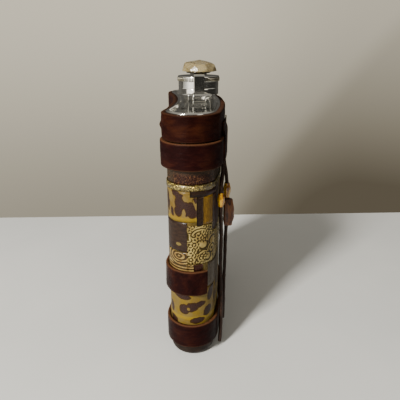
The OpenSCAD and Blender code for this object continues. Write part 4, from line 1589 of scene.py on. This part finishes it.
# %% Stone
stone_low, stone_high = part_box("top_stone")
heart = Vector((0, 0, stone_low.z / MM + 2.2))
peak = Vector((0.6, -0.6, stone_high.z / MM))
planes = [(Vector((0, 0, -1)), 2.2)]


def break_plane(turn, slope, through):
    """A flat break whose outward side faces turn degrees round and slope upwards."""
    out = Vector((math.cos(math.radians(turn)), math.sin(math.radians(turn)), slope)).normalized()
    planes.append((out, out.dot(Vector(through) - heart)))


for turn, slope, reach in ((4, 0.1, 8.3), (44, 0.1, 7.6), (86, 0.2, 7.3), (126, 0.15, 7.3),
                           (158, 0.22, 7.6), (186, 0.15, 8.0), (214, 0.2, 8.2), (246, 0.1, 8.4),
                           (276, 0.15, 8.6), (306, 0.1, 8.4), (336, 0.0, 8.1)):
    way = Vector((math.cos(math.radians(turn)), math.sin(math.radians(turn)), 0))
    break_plane(turn, slope, heart + way * reach)
# The flat breaks of the top all pass near its peak
for turn, slope in ((90, 6.0), (262, 3.6), (180, 3.8), (20, 3.0), (130, 5.0)):
    break_plane(turn, slope, peak)
# Broken shoulders
for turn, slope, reach, drop in ((98, 0.6, 6.3, 1.4), (276, 0.5, 7.2, 2.0), (182, 0.7, 6.8, 2.0),
                                 (222, 0.7, 7.0, 2.1), (142, 0.6, 6.4, 1.7), (30, 0.9, 6.4, 1.8),
                                 (330, 1.0, 6.6, 1.8)):
    way = Vector((math.cos(math.radians(turn)), math.sin(math.radians(turn)), 0)) * reach
    break_plane(turn, slope, Vector((way.x, way.y, peak.z - drop)))


def stone_reach(way):
    reach = 1e9
    for out, far_off in planes:
        facing = way.dot(out)
        if facing > 1e-4:
            reach = min(reach, far_off / facing)
    return reach


ball = bmesh.new()
bmesh.ops.create_icosphere(ball, subdivisions=6, radius=1)
for v in ball.verts:
    way = v.co.normalized()
    r = stone_reach(way)
    spot = way * r
    chip = 0.16 * abs(noise.noise(spot * 0.55)) + 0.07 * abs(noise.noise(spot * 1.7))
    v.co = (heart + way * (r - chip)) * MM
    v.co.z = min(max(v.co.z, stone_low.z), stone_high.z)
stone_mesh = bpy.data.meshes.new("broken_stone")
ball.to_mesh(stone_mesh)
ball.free()
settle(as_piece("broken_stone", stone_mesh, quartz), "arm", "top_stone")

# %% Glue
glue_low, glue_high = height_of("stone_glue")
glue_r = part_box("stone_glue")[1].x / MM


def squeezed(q, r, z):
    if r < 4:
        return r
    return r * (0.97 + 0.03 * noise.noise(Vector((math.cos(q) * 2, math.sin(q) * 2, z))))


glue_profile = ([(2.25, glue_low + 0.01), (glue_r - 0.35, glue_low + 0.01)]
                + arc(glue_r - 0.35, (glue_low + glue_high) / 2, 0.34, -70, 70, 6)
                + [(glue_r - 0.35, glue_high - 0.005), (2.25, glue_high - 0.005)])
glue = lathe("glue_bed", glue_profile, glue_and_shade, 96, squeezed)
tidy_normals(glue)
settle(glue, "arm", "stone_glue")

# %% [markdown]
# ## Finishes for the carried-over pieces
# The pin, the rivet, the plates, the liner and the seal are right as they come, so they only get
# their finishes.


# %% Carried-over finishes
def rubber_finish():
    t = Tree("seal_rubber", "gasket_rubber")
    cloud = t.noise(t.object_place(), 0.9, 4)
    t.bump(cloud, 0.08, 0.5)
    return t.finish(Base_Color=t.ramp(cloud, (0.3, (0.012, 0.011, 0.01)), (0.7, (0.05, 0.045, 0.04))),
                    Roughness=0.6)


seal_rubber = rubber_finish()
carried = {
    "top_plate": mirror_steel, "base_plate": brushed_steel, "hinge_pin": mirror_steel,
    "swivel_rivet": mirror_steel, "swivel_washer": brushed_steel, "cap_liner": brushed_steel,
    "cap_gasket": seal_rubber,
}
for node, finish in carried.items():
    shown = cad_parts[node]
    for slot in shown.material_slots:
        slot.material = finish.material
    print(node, "wears", finish.material.name)

# %% [markdown]
# ## Table, light and air
# The flask stands on a plain pale table that ends a little behind it. A small soft light comes from the
# upper left and a broad weak one fills from the right. The camera sees a warm wall as the air, with
# painted shade and a painted shadow of the flask low on the right. The air that the steel mirrors has a
# bright window on the left, a soft ceiling and dark elsewhere, because mirror steel looks like nothing
# without something dark to reflect.


# %% Table
def table_finish():
    t = Tree("pale_table")
    cloud = t.noise(t.object_place(), 0.01, 3)
    return t.finish(Base_Color=t.ramp(cloud, (0.3, (0.56, 0.565, 0.55)), (0.7, (0.62, 0.62, 0.6))),
                    Roughness=0.5)


table_edge = 0.128
table_front, table_right, table_left = -0.45, -0.45, 1.0
corners = [(table_front, table_right, 0), (table_edge, table_right, 0),
           (table_edge, table_left, 0), (table_front, table_left, 0)]
table = new_piece("table_top", corners, [(0, 1, 2, 3)], table_finish())
print("table edge at", table_edge)


# %% Lights
def soft_light(name, place, aim, size, power, colour):
    data = bpy.data.lights.new(name, "AREA")
    data.shape = "RECTANGLE"
    data.size, data.size_y = size
    data.energy = power
    data.color = colour
    light = bpy.data.objects.new(name, data)
    bpy.context.scene.collection.objects.link(light)
    light.location = place
    light.rotation_mode = "QUATERNION"
    light.rotation_quaternion = (Vector(aim) - Vector(place)).to_track_quat("-Z", "Y")
    light.visible_camera = False
    return light


middle = (0, 0, 0.07)
soft_light("key_light", (-0.7, 0.6, 0.66), middle, (0.16, 0.24), 27.0, (1.0, 0.97, 0.9))
soft_light("fill_light", (-0.8, -0.7, 0.5), middle, (0.5, 0.5), 1.8, (1.0, 0.93, 0.8))
print("two soft lights")


# %% Air
def room_air():
    """The camera sees a warm wall with painted shade, lighter to the upper left and darker low on the
    right.
    Steel sees a bright window on the left, a soft ceiling and a dark room elsewhere."""
    world = bpy.data.worlds.new("room_air")
    bpy.context.scene.world = world
    world.use_nodes = True
    tree = world.node_tree
    tree.nodes.clear()

    def node(kind, inputs=(), **settings):
        return add_node(tree, "ShaderNode" + kind, inputs, **settings)

    way = node("TexCoord").outputs["Generated"]

    def toward(direction, low, high, gain):
        """Light that grows from low to high as the view turns towards a direction."""
        facing = node("VectorMath", {0: way, 1: direction}, operation="DOT_PRODUCT").outputs[1]
        return node("MapRange", {"Value": facing, "From Min": low, "From Max": high,
                                 "To Max": gain}, interpolation_type="SMOOTHSTEP").outputs[0]

    dark_room = 0.035
    total = node("Value").outputs[0]
    total.default_value = dark_room
    window, ceiling = ((-0.66, 0.75, 0), 0.89, 0.95, 2.2), ((0, 0, 1), 0.25, 0.8, 0.36)
    wall_behind, wall_left = ((1, 0, 0), 0.1, 0.9, 0.06), ((0, 1, 0), 0, 0.8, 0.09)
    for glow in (window, ceiling, wall_behind, wall_left):
        total = node("Math", {0: total, 1: toward(*glow)}).outputs[0]
    mirrored = node("Background", {0: (1, 0.95, 0.84, 1), 1: total})
    shade = node("Math", {0: toward((0, -1, 0), 0.0, 0.4, 0.3),
                          1: toward((0, 0, -1), -0.15, 0.45, 0.66)}).outputs[0]
    # The flask's own shadow on the wall, low on the right
    shade = node("Math", {0: shade, 1: toward((0, -0.8, -0.6), 0.3, 0.36, 0.15)}).outputs[0]
    wall = node("Mix", {0: shade, 6: (0.8, 0.73, 0.57), 7: (0.11, 0.092, 0.062)},
                data_type="RGBA")
    plain = node("Background", {0: wall.outputs[2]})
    choose = node("MixShader", {0: node("LightPath").outputs["Is Camera Ray"],
                                1: mirrored.outputs[0], 2: plain.outputs[0]})
    node("OutputWorld", {0: choose.outputs[0]})


room_air()
print("light ready")
